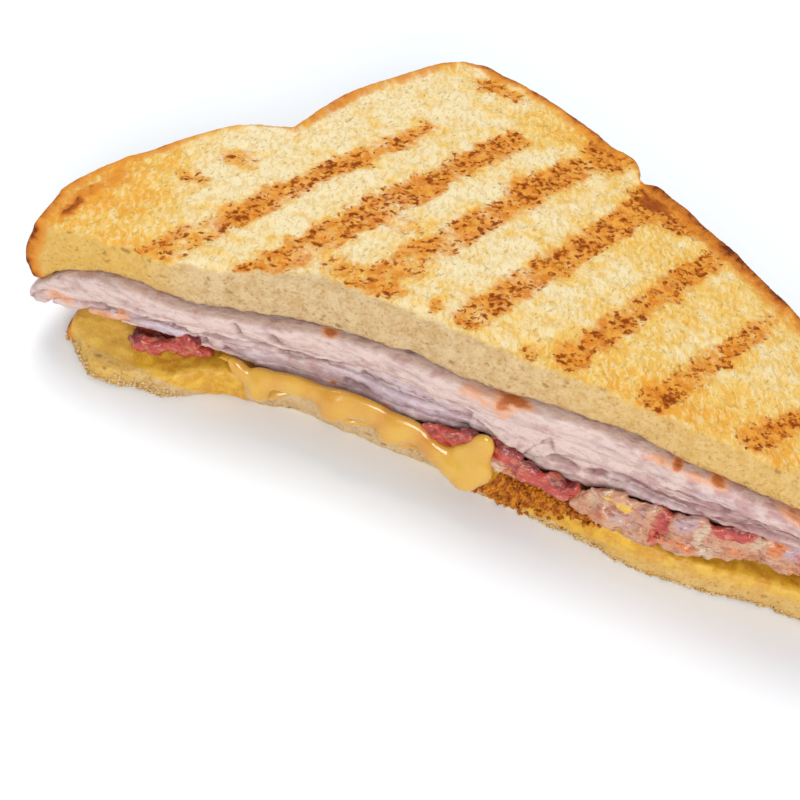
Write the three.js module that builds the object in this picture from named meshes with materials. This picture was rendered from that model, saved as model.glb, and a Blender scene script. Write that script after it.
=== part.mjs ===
// Half of a grilled turkey, bacon and cheddar sandwich, cut from corner to corner and lying flat.
// Units are millimetres. +Z is up, the cut face looks towards -Y and the crusts meet at the back.
// Every layer is a sheet: cross-sections side by side along the cut, joined into one closed skin.

import * as THREE from 'three';

const TAU = 2 * Math.PI;

// The bread slice, seen from above. Its short side is the left crust, its long side the right crust.
const SLICE_WIDTH = 100;
const SLICE_LENGTH = 129;
const CUT_LENGTH = Math.hypot(SLICE_WIDTH, SLICE_LENGTH);
const HALF_CUT = CUT_LENGTH / 2;
const CUT_DEPTH = (SLICE_WIDTH * SLICE_LENGTH) / CUT_LENGTH;

// The crust line, measured along and across the short side from the corner where the cut starts.
const LEFT_TIP = { along: 3.6, across: 5.2 };
const LEFT_TIP_PULL = { along: 11, across: -1.5 };
const SWELL_START = { along: 22, across: -2 };
const SWELL_END = { along: 38, across: -2 };
const WAIST_PULL_IN = { along: 47.8, across: -1.6 };
const WAIST = { along: 52.3, across: 4.6 };
const WAIST_PULL_OUT = { along: 60.3, across: 0.8 };
const APEX_SIDE = { along: 72.3, across: 0 };
const APEX_START = { along: 85, across: 0 };
const APEX_PULL = { along: 94.6, across: 0 };
const APEX_END = { along: 95.6, across: 8 };
const SHOULDER_PULL = { along: 100, across: 19.75 };
const SHOULDER = { along: 101.2, across: 39.5 };
const SMALL_WAIST = { along: 100.2, across: 42.8 };
const LONG_SIDE_PULL = { along: 102, across: 44 };
const LONG_SIDE_START = { along: 102, across: 48.8 };
const LONG_SIDE_END = { along: 103, across: 108 };
const RIGHT_TIP_PULL = { along: 103, across: 116 };
const RIGHT_TIP = { along: 100.2, across: 120 };
const CRUST_SHIFT = 1.2;
const CURVE_SAMPLES = 700;

// The top slice of bread, highest near the middle of the cut.
const TOP_HEIGHT = 31;
const CROWN_AT = 16;
const END_DROP = 6.5;
const BACK_DROP = 0.6;
const CRUST_EXTRA = 1.4;
const CRUST_BAND = 7;
const CRUST_RIM = 2.4;
const CUT_RIM = 1;
const TOP_UNEVEN = { height: 0.25, seed: 2, wavelength: 17 };

// The bottom slice of bread. On the left it lies as a ledge that slopes down in front of the fillings.
const BOTTOM_THICKNESS = 6.5;
const BOTTOM_START = -68;
const BOTTOM_UNEVEN = { height: 0.18, seed: 4, wavelength: 31 };
const LEDGE = { drop: 2.6, from: 3, to: -6, starts: -44, full: -52 };

// The fillings lie a small gap apart and stop short of the crusts.
const GAP = 0.35;
const FILLING_INSET = 6;
const FILLING_RIM = 0.8;
const LEFT_STRETCH = 1.035;
const CHEESE_FLOOR = BOTTOM_THICKNESS + 0.55;
const CHEESE_THICKNESS = 1.7;
const BACON_FLOOR = CHEESE_FLOOR + CHEESE_THICKNESS + GAP;
const BACON_THICKNESS = 2;

// How the sheets are made.
const RIM_SQUARENESS = 0.6;
const MOST_RIM_SHARE = 0.4;
const LEAST_DEPTH_IN_RIMS = 2.2;
const END_THINNESS = 0.3;
const STATION_CROWDING = 0.55;
const END_MARGIN = 0.2;
const BREAD_STATIONS = 56;
const BREAD_ROWS = [0.05, 0.2, 0.42, 0.66, 0.88];
const TURKEY_ROWS = [0.09, 0.34, 0.72];
const CHEESE_ROWS = [0.035, 0.075, 0.12, 0.18, 0.45, 0.8];
const BACON_ROWS = [0.06, 0.13, 0.24, 0.45, 0.72];

const clamp01 = (value) => Math.min(1, Math.max(0, value));

/** A smooth step from 0 to 1 as value goes from start to end. */
function ease(value, start, end) {
  const share = clamp01((value - start) / (end - start));
  return share * share * (3 - 2 * share);
}

/** A soft hill of height 1 at centre that dies away over about twice its width. */
const hill = (value, centre, width) => Math.exp(-(((value - centre) / width) ** 2));

/** A smooth uneven surface between -1 and 1, of three waves that run in different directions. */
function unevenness(x, y, seed, wavelength) {
  const waves = 3;
  const headingPerSeed = 1.7;
  const headingPerWave = 2.1;
  const shorterPerWave = 0.37;
  const phasePerSeed = 2.3;
  let sum = 0;
  for (let wave = 0; wave < waves; wave++) {
    const heading = headingPerSeed * seed + headingPerWave * wave;
    const along = x * Math.cos(heading) + y * Math.sin(heading);
    const cycles = (along / wavelength) * (1 + shorterPerWave * wave);
    sum += Math.sin(cycles * TAU + phasePerSeed * seed + wave);
  }
  return sum / waves;
}

/** A smooth line through a few [x, value] stations, as a function of x. */
function throughStations(stations) {
  return (x) => {
    let i = 0;
    while (i < stations.length - 2 && x > stations[i + 1][0]) i++;
    const [x0, v0] = stations[i];
    const [x1, v1] = stations[i + 1];
    return v0 + (v1 - v0) * ease(x, x0, x1);
  };
}

/** Turns a place on the slice, along and across its short side, into x and y on the plan. */
function toPlan(along, across) {
  return new THREE.Vector2(
    (along * SLICE_WIDTH + across * SLICE_LENGTH) / CUT_LENGTH - HALF_CUT,
    (along * SLICE_LENGTH - across * SLICE_WIDTH) / CUT_LENGTH,
  );
}

/** The crust line from the left tip round the back to the right tip, as plan points in order of x. */
function crustLine() {
  const path = new THREE.Path();
  const straight = (to) => path.lineTo(to.along, to.across);
  const curve = (pull, to) => path.quadraticCurveTo(pull.along, pull.across, to.along, to.across);
  path.moveTo(LEFT_TIP.along, LEFT_TIP.across);
  curve(LEFT_TIP_PULL, SWELL_START);
  straight(SWELL_END);
  curve(WAIST_PULL_IN, WAIST);
  curve(WAIST_PULL_OUT, APEX_SIDE);
  straight(APEX_START);
  curve(APEX_PULL, APEX_END);
  curve(SHOULDER_PULL, SHOULDER);
  straight(SMALL_WAIST);
  curve(LONG_SIDE_PULL, LONG_SIDE_START);
  straight(LONG_SIDE_END);
  curve(RIGHT_TIP_PULL, RIGHT_TIP);
  return path.getSpacedPoints(CURVE_SAMPLES).map((point) => {
    const { x, y } = toPlan(point.x, point.y);
    return new THREE.Vector2(x, y + CRUST_SHIFT);
  });
}

const CRUST = crustLine();
const LEFT_END = CRUST[0].x;
const RIGHT_END = CRUST[CRUST.length - 1].x;

/** How far back the bread reaches at x. */
function crustAt(x) {
  let i = 0;
  while (i < CRUST.length - 2 && CRUST[i + 1].x < x) i++;
  const [from, to] = [CRUST[i], CRUST[i + 1]];
  const share = clamp01((x - from.x) / Math.max(to.x - from.x, 1e-6));
  return from.y + (to.y - from.y) * share;
}

/** How far back a filling reaches. At the left tip it pokes out a little past the bread. */
function fillingBackAt(x, inset) {
  return crustAt(x < 0 ? x / LEFT_STRETCH : x) - inset;
}

/** Where the cut face of each slice of bread lies. */
const topFront = throughStations([
  [LEFT_END, -1], [-50, -0.7], [-40, 0.5], [-28, 2.2], [-16, 1.3],
  [0, 0.4], [23, 0.2], [33, -1.4], [50, -1.9], [RIGHT_END, -1],
]);
const bottomFront = throughStations([
  [BOTTOM_START, -0.8], [-60, -6.2], [-50, -4.6], [-38, 0.2], [-26, 2.2],
  [-8, 1.4], [12, -1.2], [38, -3.6], [56, -1.4], [RIGHT_END, -0.6],
]);

/** How thick the top slice is: thick at the left tip, pressed thin on the right. */
const topThickness = throughStations([
  [LEFT_END, 12.4], [-67, 7.6], [-61, 6.4], [-44, 8.6], [-34, 8.2],
  [-12, 6.7], [0, 7.4], [13, 6.2], [42, 5.5], [RIGHT_END, 6],
]);

/** The toasted top of the sandwich, highest near the middle of the cut. */
function toastedTop(x, y) {
  const along = (x - CROWN_AT) / HALF_CUT;
  return TOP_HEIGHT - END_DROP * along * along - BACK_DROP * (y / CUT_DEPTH) ** 2;
}

/** The underside of the top slice, which is thicker along the crust. */
function topUnderside(x, y) {
  const nearCrust = 1 - clamp01((crustAt(x) - y) / CRUST_BAND);
  return toastedTop(x, y) - topThickness(x) - CRUST_EXTRA * nearCrust * nearCrust;
}

/** The top of the bottom slice. */
function bottomTop(x, y) {
  const { height, seed, wavelength } = BOTTOM_UNEVEN;
  const ledge = LEDGE.drop * ease(y, LEDGE.from, LEDGE.to) * ease(x, LEDGE.starts, LEDGE.full);
  return BOTTOM_THICKNESS + height * unevenness(x, y, seed, wavelength) - ledge;
}

/** Where the pile of turkey starts, over the cheese and the bacon. */
const turkeyFloor = throughStations([
  [-76, 7], [-68, 8.6], [-60, 10.4], [-46, 10], [-36, 9.3], [-22, 9.8],
  [-10, 10.8], [-2, 12.4], [8, 12.2], [20, 12.1], [31, 15], [52, 15.4], [RIGHT_END, 14.8],
]);

/** Stations of x from start to end, closer together at both ends, with some extra places. */
function columns(start, end, count, extra = []) {
  const list = [];
  for (let i = 0; i <= count; i++) {
    const share = i / count;
    const eased = share - (STATION_CROWDING * Math.sin(TAU * share)) / TAU;
    list.push(start + (end - start) * eased);
  }
  for (const place of extra) {
    let nearest = 1;
    for (let i = 1; i < count; i++) {
      if (Math.abs(list[i] - place) < Math.abs(list[nearest] - place)) nearest = i;
    }
    list[nearest] = place;
  }
  return list;
}

/** How far out and how far up a point on a rim is, from its lower edge at share 0 to its upper edge at 1. */
function rimPoint(share) {
  const angle = Math.PI * (share - 0.5);
  const out = Math.max(Math.cos(angle), 0) ** RIM_SQUARENESS;
  return [out, Math.sign(Math.sin(angle)) * Math.abs(Math.sin(angle)) ** RIM_SQUARENESS];
}

/**
 * A closed sheet. Each x in sheet.columns gets a cross-section from front(x) to back(x), between
 * bottom(x, y) and top(x, y), with round rims. sheet.rows are shares of the depth, and place can
 * bend the finished sheet.
 */
function sheetGeometry(sheet) {
  const { front, back, top, bottom, rows, frontRim, backRim, rimSteps, endRound, place } = sheet;
  const first = sheet.columns[0];
  const last = sheet.columns[sheet.columns.length - 1];
  const positions = [];

  function point(x, y, side) {
    const ending = clamp01(Math.min(x - first, last - x) / endRound);
    const thin = END_THINNESS + (1 - END_THINNESS) * Math.sqrt(ending * (2 - ending));
    const middle = (top(x, y) + bottom(x, y)) / 2;
    const half = (top(x, y) - bottom(x, y)) / 2;
    const z = middle + side * half * (sheet.flatBase && side < 0 ? 1 : thin);
    positions.push(...(place ? place(x, y, z) : [x, y, z]));
  }

  for (const x of sheet.columns) {
    const near = front(x);
    const far = Math.max(back(x), near + LEAST_DEPTH_IN_RIMS * Math.max(frontRim, backRim));
    const depth = far - near;
    const rim = (radius) => Math.min(radius, MOST_RIM_SHARE * depth);
    const flat = depth - rim(frontRim) - rim(backRim);
    const inner = rows.map((share) => near + rim(frontRim) + flat * share);
    for (let i = inner.length - 1; i >= 0; i--) point(x, inner[i], -1);
    for (let step = 0; step <= rimSteps; step++) {
      const [out, up] = rimPoint(step / rimSteps);
      point(x, near + rim(frontRim) * (1 - out), up);
    }
    for (const y of inner) point(x, y, 1);
    for (let step = rimSteps; step >= 0; step--) {
      const [out, up] = rimPoint(step / rimSteps);
      point(x, far - rim(backRim) * (1 - out), up);
    }
  }

  const around = 2 * (rows.length + rimSteps + 1);
  const index = [];
  for (let section = 0; section < sheet.columns.length - 1; section++) {
    for (let i = 0; i < around; i++) {
      const a = section * around + i;
      const b = section * around + ((i + 1) % around);
      const c = a + around;
      const d = b + around;
      const alike = i < around / 2;
      if (alike) index.push(a, b, d, a, d, c);
      else index.push(a, b, c, b, d, c);
    }
  }

  // Each end section is closed by a strip from the middle of its back rim to the middle of its front rim.
  const strips = around / 2;
  const backMiddle = around - 1 - rimSteps / 2;
  for (const [section, inwards] of [[0, false], [sheet.columns.length - 1, true]]) {
    const under = (i) => section * around + ((backMiddle + i) % around);
    const over = (i) => section * around + ((backMiddle - i + around) % around);
    const close = (a, b, c) => (inwards ? index.push(a, b, c) : index.push(a, c, b));
    for (let i = 0; i < strips; i++) {
      if (i < strips - 1) close(under(i), under(i + 1), over(i + 1));
      if (i > 0) close(under(i), over(i === strips - 1 ? strips : i + 1), over(i));
    }
  }

  const geometry = new THREE.BufferGeometry();
  geometry.setAttribute('position', new THREE.Float32BufferAttribute(positions, 3));
  geometry.setIndex(index);
  return facingOut(geometry);
}

/** Turns a closed skin the right way out if its volume comes out negative. */
function facingOut(geometry) {
  const position = geometry.attributes.position;
  const index = geometry.index.array;
  const [a, b, c] = [new THREE.Vector3(), new THREE.Vector3(), new THREE.Vector3()];
  let volume = 0;
  for (let i = 0; i < index.length; i += 3) {
    a.fromBufferAttribute(position, index[i]);
    b.fromBufferAttribute(position, index[i + 1]);
    c.fromBufferAttribute(position, index[i + 2]);
    volume += a.dot(b.cross(c));
  }
  if (volume < 0) {
    for (let i = 0; i < index.length; i += 3) [index[i], index[i + 1]] = [index[i + 1], index[i]];
  }
  geometry.computeVertexNormals();
  return geometry;
}

const model = new THREE.Group();

/** Adds one named piece of the sandwich. */
function addPiece(name, geometry, material) {
  const mesh = new THREE.Mesh(geometry, material);
  mesh.name = name;
  model.add(mesh);
}

const toast = new THREE.MeshStandardMaterial({ color: 0xe3bb6c, roughness: 0.9, metalness: 0 });
const soakedBread = new THREE.MeshStandardMaterial({ color: 0xdcb04a, roughness: 0.85, metalness: 0 });
const turkeyMeat = new THREE.MeshStandardMaterial({ color: 0xddc3bd, roughness: 0.55, metalness: 0 });
const cheddarMelt = new THREE.MeshStandardMaterial({ color: 0xe3a72f, roughness: 0.35, metalness: 0 });
const baconMeat = new THREE.MeshStandardMaterial({ color: 0xb5554a, roughness: 0.45, metalness: 0 });

/** The two slices of bread. */
function addBread() {
  const waists = [WAIST, SMALL_WAIST].map((place) => toPlan(place.along, place.across).x);
  const stations = (start) => columns(start, RIGHT_END - END_MARGIN, BREAD_STATIONS, waists);
  const { height, seed, wavelength } = TOP_UNEVEN;
  const shared = {
    back: crustAt,
    rows: BREAD_ROWS,
    frontRim: CUT_RIM,
    backRim: CRUST_RIM,
    rimSteps: 4,
    endRound: 2,
  };
  addPiece('top_bread', sheetGeometry({
    ...shared,
    columns: stations(LEFT_END + END_MARGIN),
    front: topFront,
    top: (x, y) => toastedTop(x, y) + height * unevenness(x, y, seed, wavelength),
    bottom: topUnderside,
  }), toast);
  addPiece('bottom_bread', sheetGeometry({
    ...shared,
    columns: stations(BOTTOM_START),
    front: bottomFront,
    flatBase: true,
    top: bottomTop,
    bottom: () => 0,
  }), soakedBread);
}

// The turkey slices from the top down: where each starts and ends along the cut, its share of the
// pile's height, how far its front edge stands proud of the cut, and how far it droops there.
const TURKEY = [
  { start: -76, end: 73.5, share: 1.25, proud: 0.6, droop: 0, seed: 1 },
  { start: -70, end: 72, share: 0.9, proud: 1.3, droop: 0, seed: 2 },
  { start: -64, end: 74.5, share: 1.05, proud: 0.8, droop: 0, seed: 3 },
  { start: -58, end: 70.5, share: 0.85, proud: 1.5, droop: 0.5, seed: 4 },
];
const LATER_STARTS = TURKEY.slice(1).map((slice) => slice.start);
const TURKEY_STATIONS = columns(TURKEY[0].start, TURKEY[2].end, 48, LATER_STARTS);
const THIN_START = { share: 0.28, length: 14 };
const RIPPLE = { height: 0.35, wavelength: 23, starts: -60, full: -40 };
const FRONT_WAVER = { depth: 0.6, wavelength: 21 };
const BACK_WAVER = { depth: 1.5, wavelength: 29, seedShift: 9 };
const DROOP = { starts: -40, full: -32, from: 3, to: -1.5, waver: 0.4, wavelength: 27, seedFactor: 7 };

/** How much of the pile's height a slice takes at x: it is thin where it starts. */
function turkeyShare(slice, x) {
  const grown = ease(x, slice.start, slice.start + THIN_START.length);
  return slice.share * (THIN_START.share + (1 - THIN_START.share) * grown);
}

/** The height of the face between the slices above and those below, counting faces from the top down. */
function turkeyFace(face, x, y) {
  const ceiling = topUnderside(x, y) - GAP;
  const floor = turkeyFloor(x);
  const shares = TURKEY.map((slice) => (x > slice.start - 1 ? turkeyShare(slice, x) : 0));
  const whole = shares.reduce((sum, share) => sum + share, 0);
  const above = shares.slice(0, face).reduce((sum, share) => sum + share, 0) / whole;
  const isInside = face > 0 && face < TURKEY.length;
  const ripple = isInside ? RIPPLE.height * unevenness(x, 0, face + 1, RIPPLE.wavelength) : 0;
  return ceiling - (ceiling - floor) * above + ripple * ease(x, RIPPLE.starts, RIPPLE.full);
}

/** How far the front edge of a turkey slice hangs down. */
function turkeyDroop(slice, x, y) {
  const waver = DROOP.waver * unevenness(x, 0, DROOP.seedFactor * slice.seed, DROOP.wavelength);
  const limp = slice.droop * ease(x, DROOP.starts, DROOP.full) * (1 - DROOP.waver + waver);
  return limp * ease(y, DROOP.from, DROOP.to);
}

/** The pile of turkey slices. */
function addTurkey() {
  const between = GAP / 2;
  TURKEY.forEach((slice, i) => {
    const front = (x) => {
      const waver = FRONT_WAVER.depth * unevenness(x, 0, slice.seed, FRONT_WAVER.wavelength);
      return topFront(x) - slice.proud - waver;
    };
    const back = (x) => {
      const waver = unevenness(x, 0, slice.seed + BACK_WAVER.seedShift, BACK_WAVER.wavelength);
      return fillingBackAt(x, FILLING_INSET + BACK_WAVER.depth * waver);
    };
    addPiece(`turkey_slice_${i + 1}`, sheetGeometry({
      columns: TURKEY_STATIONS.filter((x) => x >= slice.start && x <= slice.end),
      front,
      back,
      rows: TURKEY_ROWS,
      frontRim: FILLING_RIM,
      backRim: FILLING_RIM,
      rimSteps: 2,
      endRound: 2.5,
      top: (x, y) => turkeyFace(i, x, y) - between,
      bottom: (x, y) => turkeyFace(i + 1, x, y) + between - turkeyDroop(slice, x, y),
    }), turkeyMeat);
  });
}

/** Bends a flat sheet down past a fold line, as a melted or limp edge hangs. */
function hangOver(foldAt, radius, mostTurn, floor) {
  return (x, y, z) => {
    const past = foldAt(x) - y;
    if (past <= 0) return [x, y, z];
    const outer = z - floor + radius;
    const turn = Math.min(past / radius, mostTurn);
    const straight = past - turn * radius;
    const forward = outer * Math.sin(turn) + straight * Math.cos(turn);
    const down = outer * Math.cos(turn) - straight * Math.sin(turn);
    return [x, foldAt(x) - forward, floor - radius + down];
  };
}

// The melted cheddar. It hangs over the front of the bottom slice in lobes, then runs back under the bacon.
const CHEESE_START = -45.4;
const CHEESE_END = 60;
const CHEESE_FOLD_OUT = 0.2;
const CHEESE_FOLD_RADIUS = 1.8;
const CHEESE_TURN = 1.3;
const CHEESE_LIP = 1;
const CHEESE_CORNER = 8;
const CHEESE_LOBES = [
  { at: -33.8, hang: 3, width: 5 },
  { at: -19.8, hang: 2.6, width: 4.2 },
  { at: -9.2, hang: 2.6, width: 4 },
  { at: 2.2, hang: 5.4, width: 4.6 },
];
const LAST_DRIP = [4, 7];
const DRIP_STATIONS = [2.8, 4.2, 5.6, 7, 8.4];
const TUCK = [7.6, 13];
const TUCK_INSET = 4.6;

/** Where the cheese turns down over the front of the bottom slice. */
const cheeseFold = (x) => bottomFront(x) + CHEESE_FOLD_OUT;

/** The front edge of the cheese before it is folded down. */
function cheeseFront(x) {
  const lobes = CHEESE_LOBES.reduce((sum, lobe) => sum + lobe.hang * hill(x, lobe.at, lobe.width), 0);
  const dripping = 1 - ease(x, ...LAST_DRIP);
  const hang = (CHEESE_LIP + lobes * dripping) * clamp01((x - CHEESE_START) / CHEESE_CORNER);
  const tuck = ease(x, ...TUCK);
  return (cheeseFold(x) - hang) * (1 - tuck) + (topFront(x) + TUCK_INSET) * tuck;
}

/** The one sheet of melted cheddar. */
function addCheddar() {
  addPiece('cheddar', sheetGeometry({
    columns: columns(CHEESE_START, CHEESE_END, 46, DRIP_STATIONS),
    front: cheeseFront,
    back: (x) => fillingBackAt(x, FILLING_INSET + 1),
    rows: CHEESE_ROWS,
    frontRim: FILLING_RIM,
    backRim: FILLING_RIM,
    rimSteps: 2,
    endRound: 2,
    top: () => CHEESE_FLOOR + CHEESE_THICKNESS,
    bottom: () => CHEESE_FLOOR,
    place: hangOver(cheeseFold, CHEESE_FOLD_RADIUS, CHEESE_TURN, CHEESE_FLOOR),
  }), cheddarMelt);
}

// The rashers of bacon: each has a place along the cut and a way in which its front edge hangs.
// The fold is where the edge turns down, an inset behind the front of the bottom slice.
const BACON_FOLD_RADIUS = CHEESE_FOLD_RADIUS + CHEESE_THICKNESS + GAP;
const UPPER_FLOOR = BACON_FLOOR + BACON_THICKNESS + 3 * GAP;
const BARE_FLOOR = BOTTOM_THICKNESS + 0.65;
const BACON_WAVE = { height: 0.16, wavelength: 15 };
const BACON_EDGE = { depth: 0.7, wavelength: 13 };
const STATION_SPACING = 3;
const LEAST_STATIONS = 6;
const RASHERS = [
  { from: -58, to: -46, depth: 26, inset: 7.6, hang: 4.4, turn: 0, floor: BARE_FLOOR, seed: 3 },
  { from: -8, to: 4, depth: 52, inset: 0.2, hang: 1.4, turn: 0.6, floor: BACON_FLOOR, seed: 5 },
  { from: 6.4, to: 19.4, depth: 46, inset: 0.2, hang: 2.2, turn: 0.8, floor: BACON_FLOOR, seed: 8 },
  { from: 20.4, to: 69, depth: 26, inset: 4.4, hang: 4.5, turn: 0.6, floor: BACON_FLOOR, seed: 11 },
  { from: 28, to: 71.5, depth: 24, inset: 4.8, hang: 3.4, turn: 0.45, floor: UPPER_FLOOR, seed: 14 },
];

/** The rashers of bacon between the cheddar and the turkey. */
function addBacon() {
  RASHERS.forEach((rasher, i) => {
    const steps = Math.max(LEAST_STATIONS, Math.round((rasher.to - rasher.from) / STATION_SPACING));
    const fold = (x) => bottomFront(x) + rasher.inset;
    const wave = (x, y) => BACON_WAVE.height * unevenness(x, y, rasher.seed, BACON_WAVE.wavelength);
    const edge = (x) => BACON_EDGE.depth * unevenness(x, 0, rasher.seed, BACON_EDGE.wavelength);
    addPiece(`bacon_rasher_${i + 1}`, sheetGeometry({
      columns: columns(rasher.from, rasher.to, steps),
      front: (x) => fold(x) - rasher.hang - edge(x),
      back: (x) => Math.min(fold(x) + rasher.depth, fillingBackAt(x, FILLING_INSET + 2)),
      rows: BACON_ROWS,
      frontRim: FILLING_RIM,
      backRim: FILLING_RIM,
      rimSteps: 2,
      endRound: 1.6,
      top: (x, y) => rasher.floor + BACON_THICKNESS + wave(x, y),
      bottom: (x, y) => rasher.floor + wave(x, y),
      place: hangOver(fold, BACON_FOLD_RADIUS, rasher.turn, rasher.floor),
    }), baconMeat);
  });
}

addBread();
addTurkey();
addCheddar();
addBacon();

// The origin goes to the middle of the base of the whole.
const bounds = new THREE.Box3().setFromObject(model);
const middle = bounds.getCenter(new THREE.Vector3());
for (const piece of model.children) piece.position.set(-middle.x, -middle.y, -bounds.min.z);

export default model;
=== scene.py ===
"""Dresses one half of a grilled turkey, bacon and cheddar sandwich.

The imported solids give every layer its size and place. Each layer is made again here as a fine mesh
over its solid, with crumb, pores, grill marks, torn edges, streaks and drips, and gets a finish of
shader nodes. Lengths are metres. Numbers written as real sizes are millimetres times MM.
"""

import logging
import math
from dataclasses import dataclass, field
from enum import Enum
from typing import Any, Sequence

import bpy
import numpy as np
from mathutils import Matrix, Vector, kdtree, noise


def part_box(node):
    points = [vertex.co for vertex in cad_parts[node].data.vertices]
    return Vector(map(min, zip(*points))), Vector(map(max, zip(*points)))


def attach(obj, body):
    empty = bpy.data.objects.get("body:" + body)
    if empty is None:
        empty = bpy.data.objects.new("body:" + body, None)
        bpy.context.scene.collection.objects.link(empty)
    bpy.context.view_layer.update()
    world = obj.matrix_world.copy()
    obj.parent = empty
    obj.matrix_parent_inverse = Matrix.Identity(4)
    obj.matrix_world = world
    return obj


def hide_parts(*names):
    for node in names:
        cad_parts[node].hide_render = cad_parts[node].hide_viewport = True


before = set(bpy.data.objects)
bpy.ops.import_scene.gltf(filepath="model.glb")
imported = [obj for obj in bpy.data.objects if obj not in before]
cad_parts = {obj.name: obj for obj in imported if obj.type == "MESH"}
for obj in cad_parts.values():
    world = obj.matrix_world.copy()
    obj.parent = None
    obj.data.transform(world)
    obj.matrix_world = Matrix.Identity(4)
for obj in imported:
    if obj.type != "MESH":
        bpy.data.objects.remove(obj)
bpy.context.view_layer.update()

MM = 0.001
BODY = "root"

# How much the lights brighten a colour.
BRIGHTNESS = 1.3

# Where the cut is, and how far a line of sight from the front comes down as it goes back.
CUT_PLANE = -35.5 * MM
VIEW_SLOPE = 1.06

# Steps that keep the noises apart, and the build of their finer layers.
SEED_STEP = 17.31
LUCK_STEP = 37.7
OCTAVE_GAIN = 0.9
OCTAVE_STEP = 2.1

MERGE_DISTANCE = 0.002 * MM
STATION_WIDTH = 0.02 * MM
FLOOR_GAP = 0.02 * MM
SMOOTH_FACTOR = 0.5
LEAST_CHANCE = 1e-9

# Painted numbers end at 1, so browning is painted as a share of this.
MOST_HEAT = 2.0

FLOAT_SOCKET = "NodeSocketFloat"
VECTOR_SOCKET = "NodeSocketVector"

Colour = tuple[float, float, float, float]

log = logging.getLogger("sandwich")


class Side(Enum):
    """Which face of a slice of bread lay on the grill."""

    TOP = 1.0
    UNDERSIDE = -1.0


def rgb(red: int, green: int, blue: int) -> Colour:
    """Turns a colour as seen in the studio, 0 to 255, into the linear colour that a shader takes.

    Args:
        red: The red part.
        green: The green part.
        blue: The blue part.

    Returns:
        Red, green, blue and an alpha of 1, all linear, less what the lights add.
    """
    linear = [((c / 255 + 0.055) / 1.055) ** 2.4 / BRIGHTNESS for c in (red, green, blue)]
    return (*linear, 1.0)


def smooth(value: np.ndarray, low: float, high: float) -> np.ndarray:
    """A soft step from 0 at low to 1 at high.

    Args:
        value: Where the step is read.
        low: The value that gives 0.
        high: The value that gives 1. It may be below low.

    Returns:
        The step, from 0 to 1.
    """
    share = np.clip((value - low) / (high - low), 0.0, 1.0)
    return share * share * (3.0 - 2.0 * share)


def hill(value: np.ndarray, centre: float, width: float) -> np.ndarray:
    """A soft hill of height 1 at centre.

    Args:
        value: Where the hill is read.
        centre: Its middle.
        width: How far from the middle it has mostly died away.

    Returns:
        The hill's height, from 0 to 1.
    """
    return np.exp(-(((value - centre) / width) ** 2))


def wander(places: np.ndarray, wavelength: float, seed: int, octaves: int = 1) -> np.ndarray:
    """Soft noise at each place.

    Args:
        places: Points, one a row.
        wavelength: The rough distance between two hills.
        seed: Picks one noise out of many.
        octaves: How many finer layers it has.

    Returns:
        One number a point, mostly between -1 and 1.
    """
    shifted = (places / wavelength + seed * SEED_STEP).tolist()
    if octaves == 1:
        return np.array([noise.noise(p) for p in shifted])
    return np.array([noise.fractal(p, OCTAVE_GAIN, OCTAVE_STEP, octaves) for p in shifted])


def pits(places: np.ndarray, size: float, seed: int, share: float, reach: float = 0.42) -> np.ndarray:
    """Round pits scattered over a surface.

    Args:
        places: Points, one a row.
        size: The distance between neighbouring pits.
        seed: Picks one scatter out of many.
        share: The share of places that have a pit.
        reach: The largest pit's radius, in sizes.

    Returns:
        How deep in a pit each point is, from 0 to 1.
    """
    depth = np.zeros(len(places))
    for i, place in enumerate((places / size + seed * SEED_STEP).tolist()):
        distances, centres = noise.voronoi(place)
        luck = noise.cell(centres[0] * LUCK_STEP)
        if luck < share:
            radius = reach * (0.45 + 0.55 * luck / share)
            depth[i] = max(0.0, 1.0 - distances[0] / radius) if distances[0] < radius else 0.0
    return np.sqrt(depth)


def seen_height(places: np.ndarray) -> np.ndarray:
    """How high each place looks on the plane of the cut, seen from the front and above.

    A line of sight from there comes down VIEW_SLOPE for each unit that it goes back.

    Args:
        places: Points, one a row.

    Returns:
        The heights in millimetres.
    """
    return (places[:, 2] + VIEW_SLOPE * (places[:, 1] - CUT_PLANE)) / MM


@dataclass(frozen=True)
class Patch:
    """A soft oval patch, in millimetres, on the top seen from above or on the cut seen from the front."""

    x: float
    y: float
    x_radius: float
    y_radius: float
    strength: float = 1.0

    def amount(self, x: np.ndarray, y: np.ndarray) -> np.ndarray:
        """How strong the patch is at each place, from 0 to its strength."""
        away = ((x - self.x) / self.x_radius) ** 2 + ((y - self.y) / self.y_radius) ** 2
        return self.strength * np.exp(-(away**1.5))


def patched(patches: Sequence[Patch], x: np.ndarray, y: np.ndarray) -> np.ndarray:
    """The strongest of some patches at each place.

    Args:
        patches: The patches. There may be none.
        x: Places along the cut, in millimetres.
        y: Places across it or heights, in millimetres.

    Returns:
        One number a place, 0 where no patch reaches.
    """
    amount = np.zeros(len(x))
    for patch in patches:
        amount = np.maximum(amount, patch.amount(x, y))
    return amount


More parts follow.
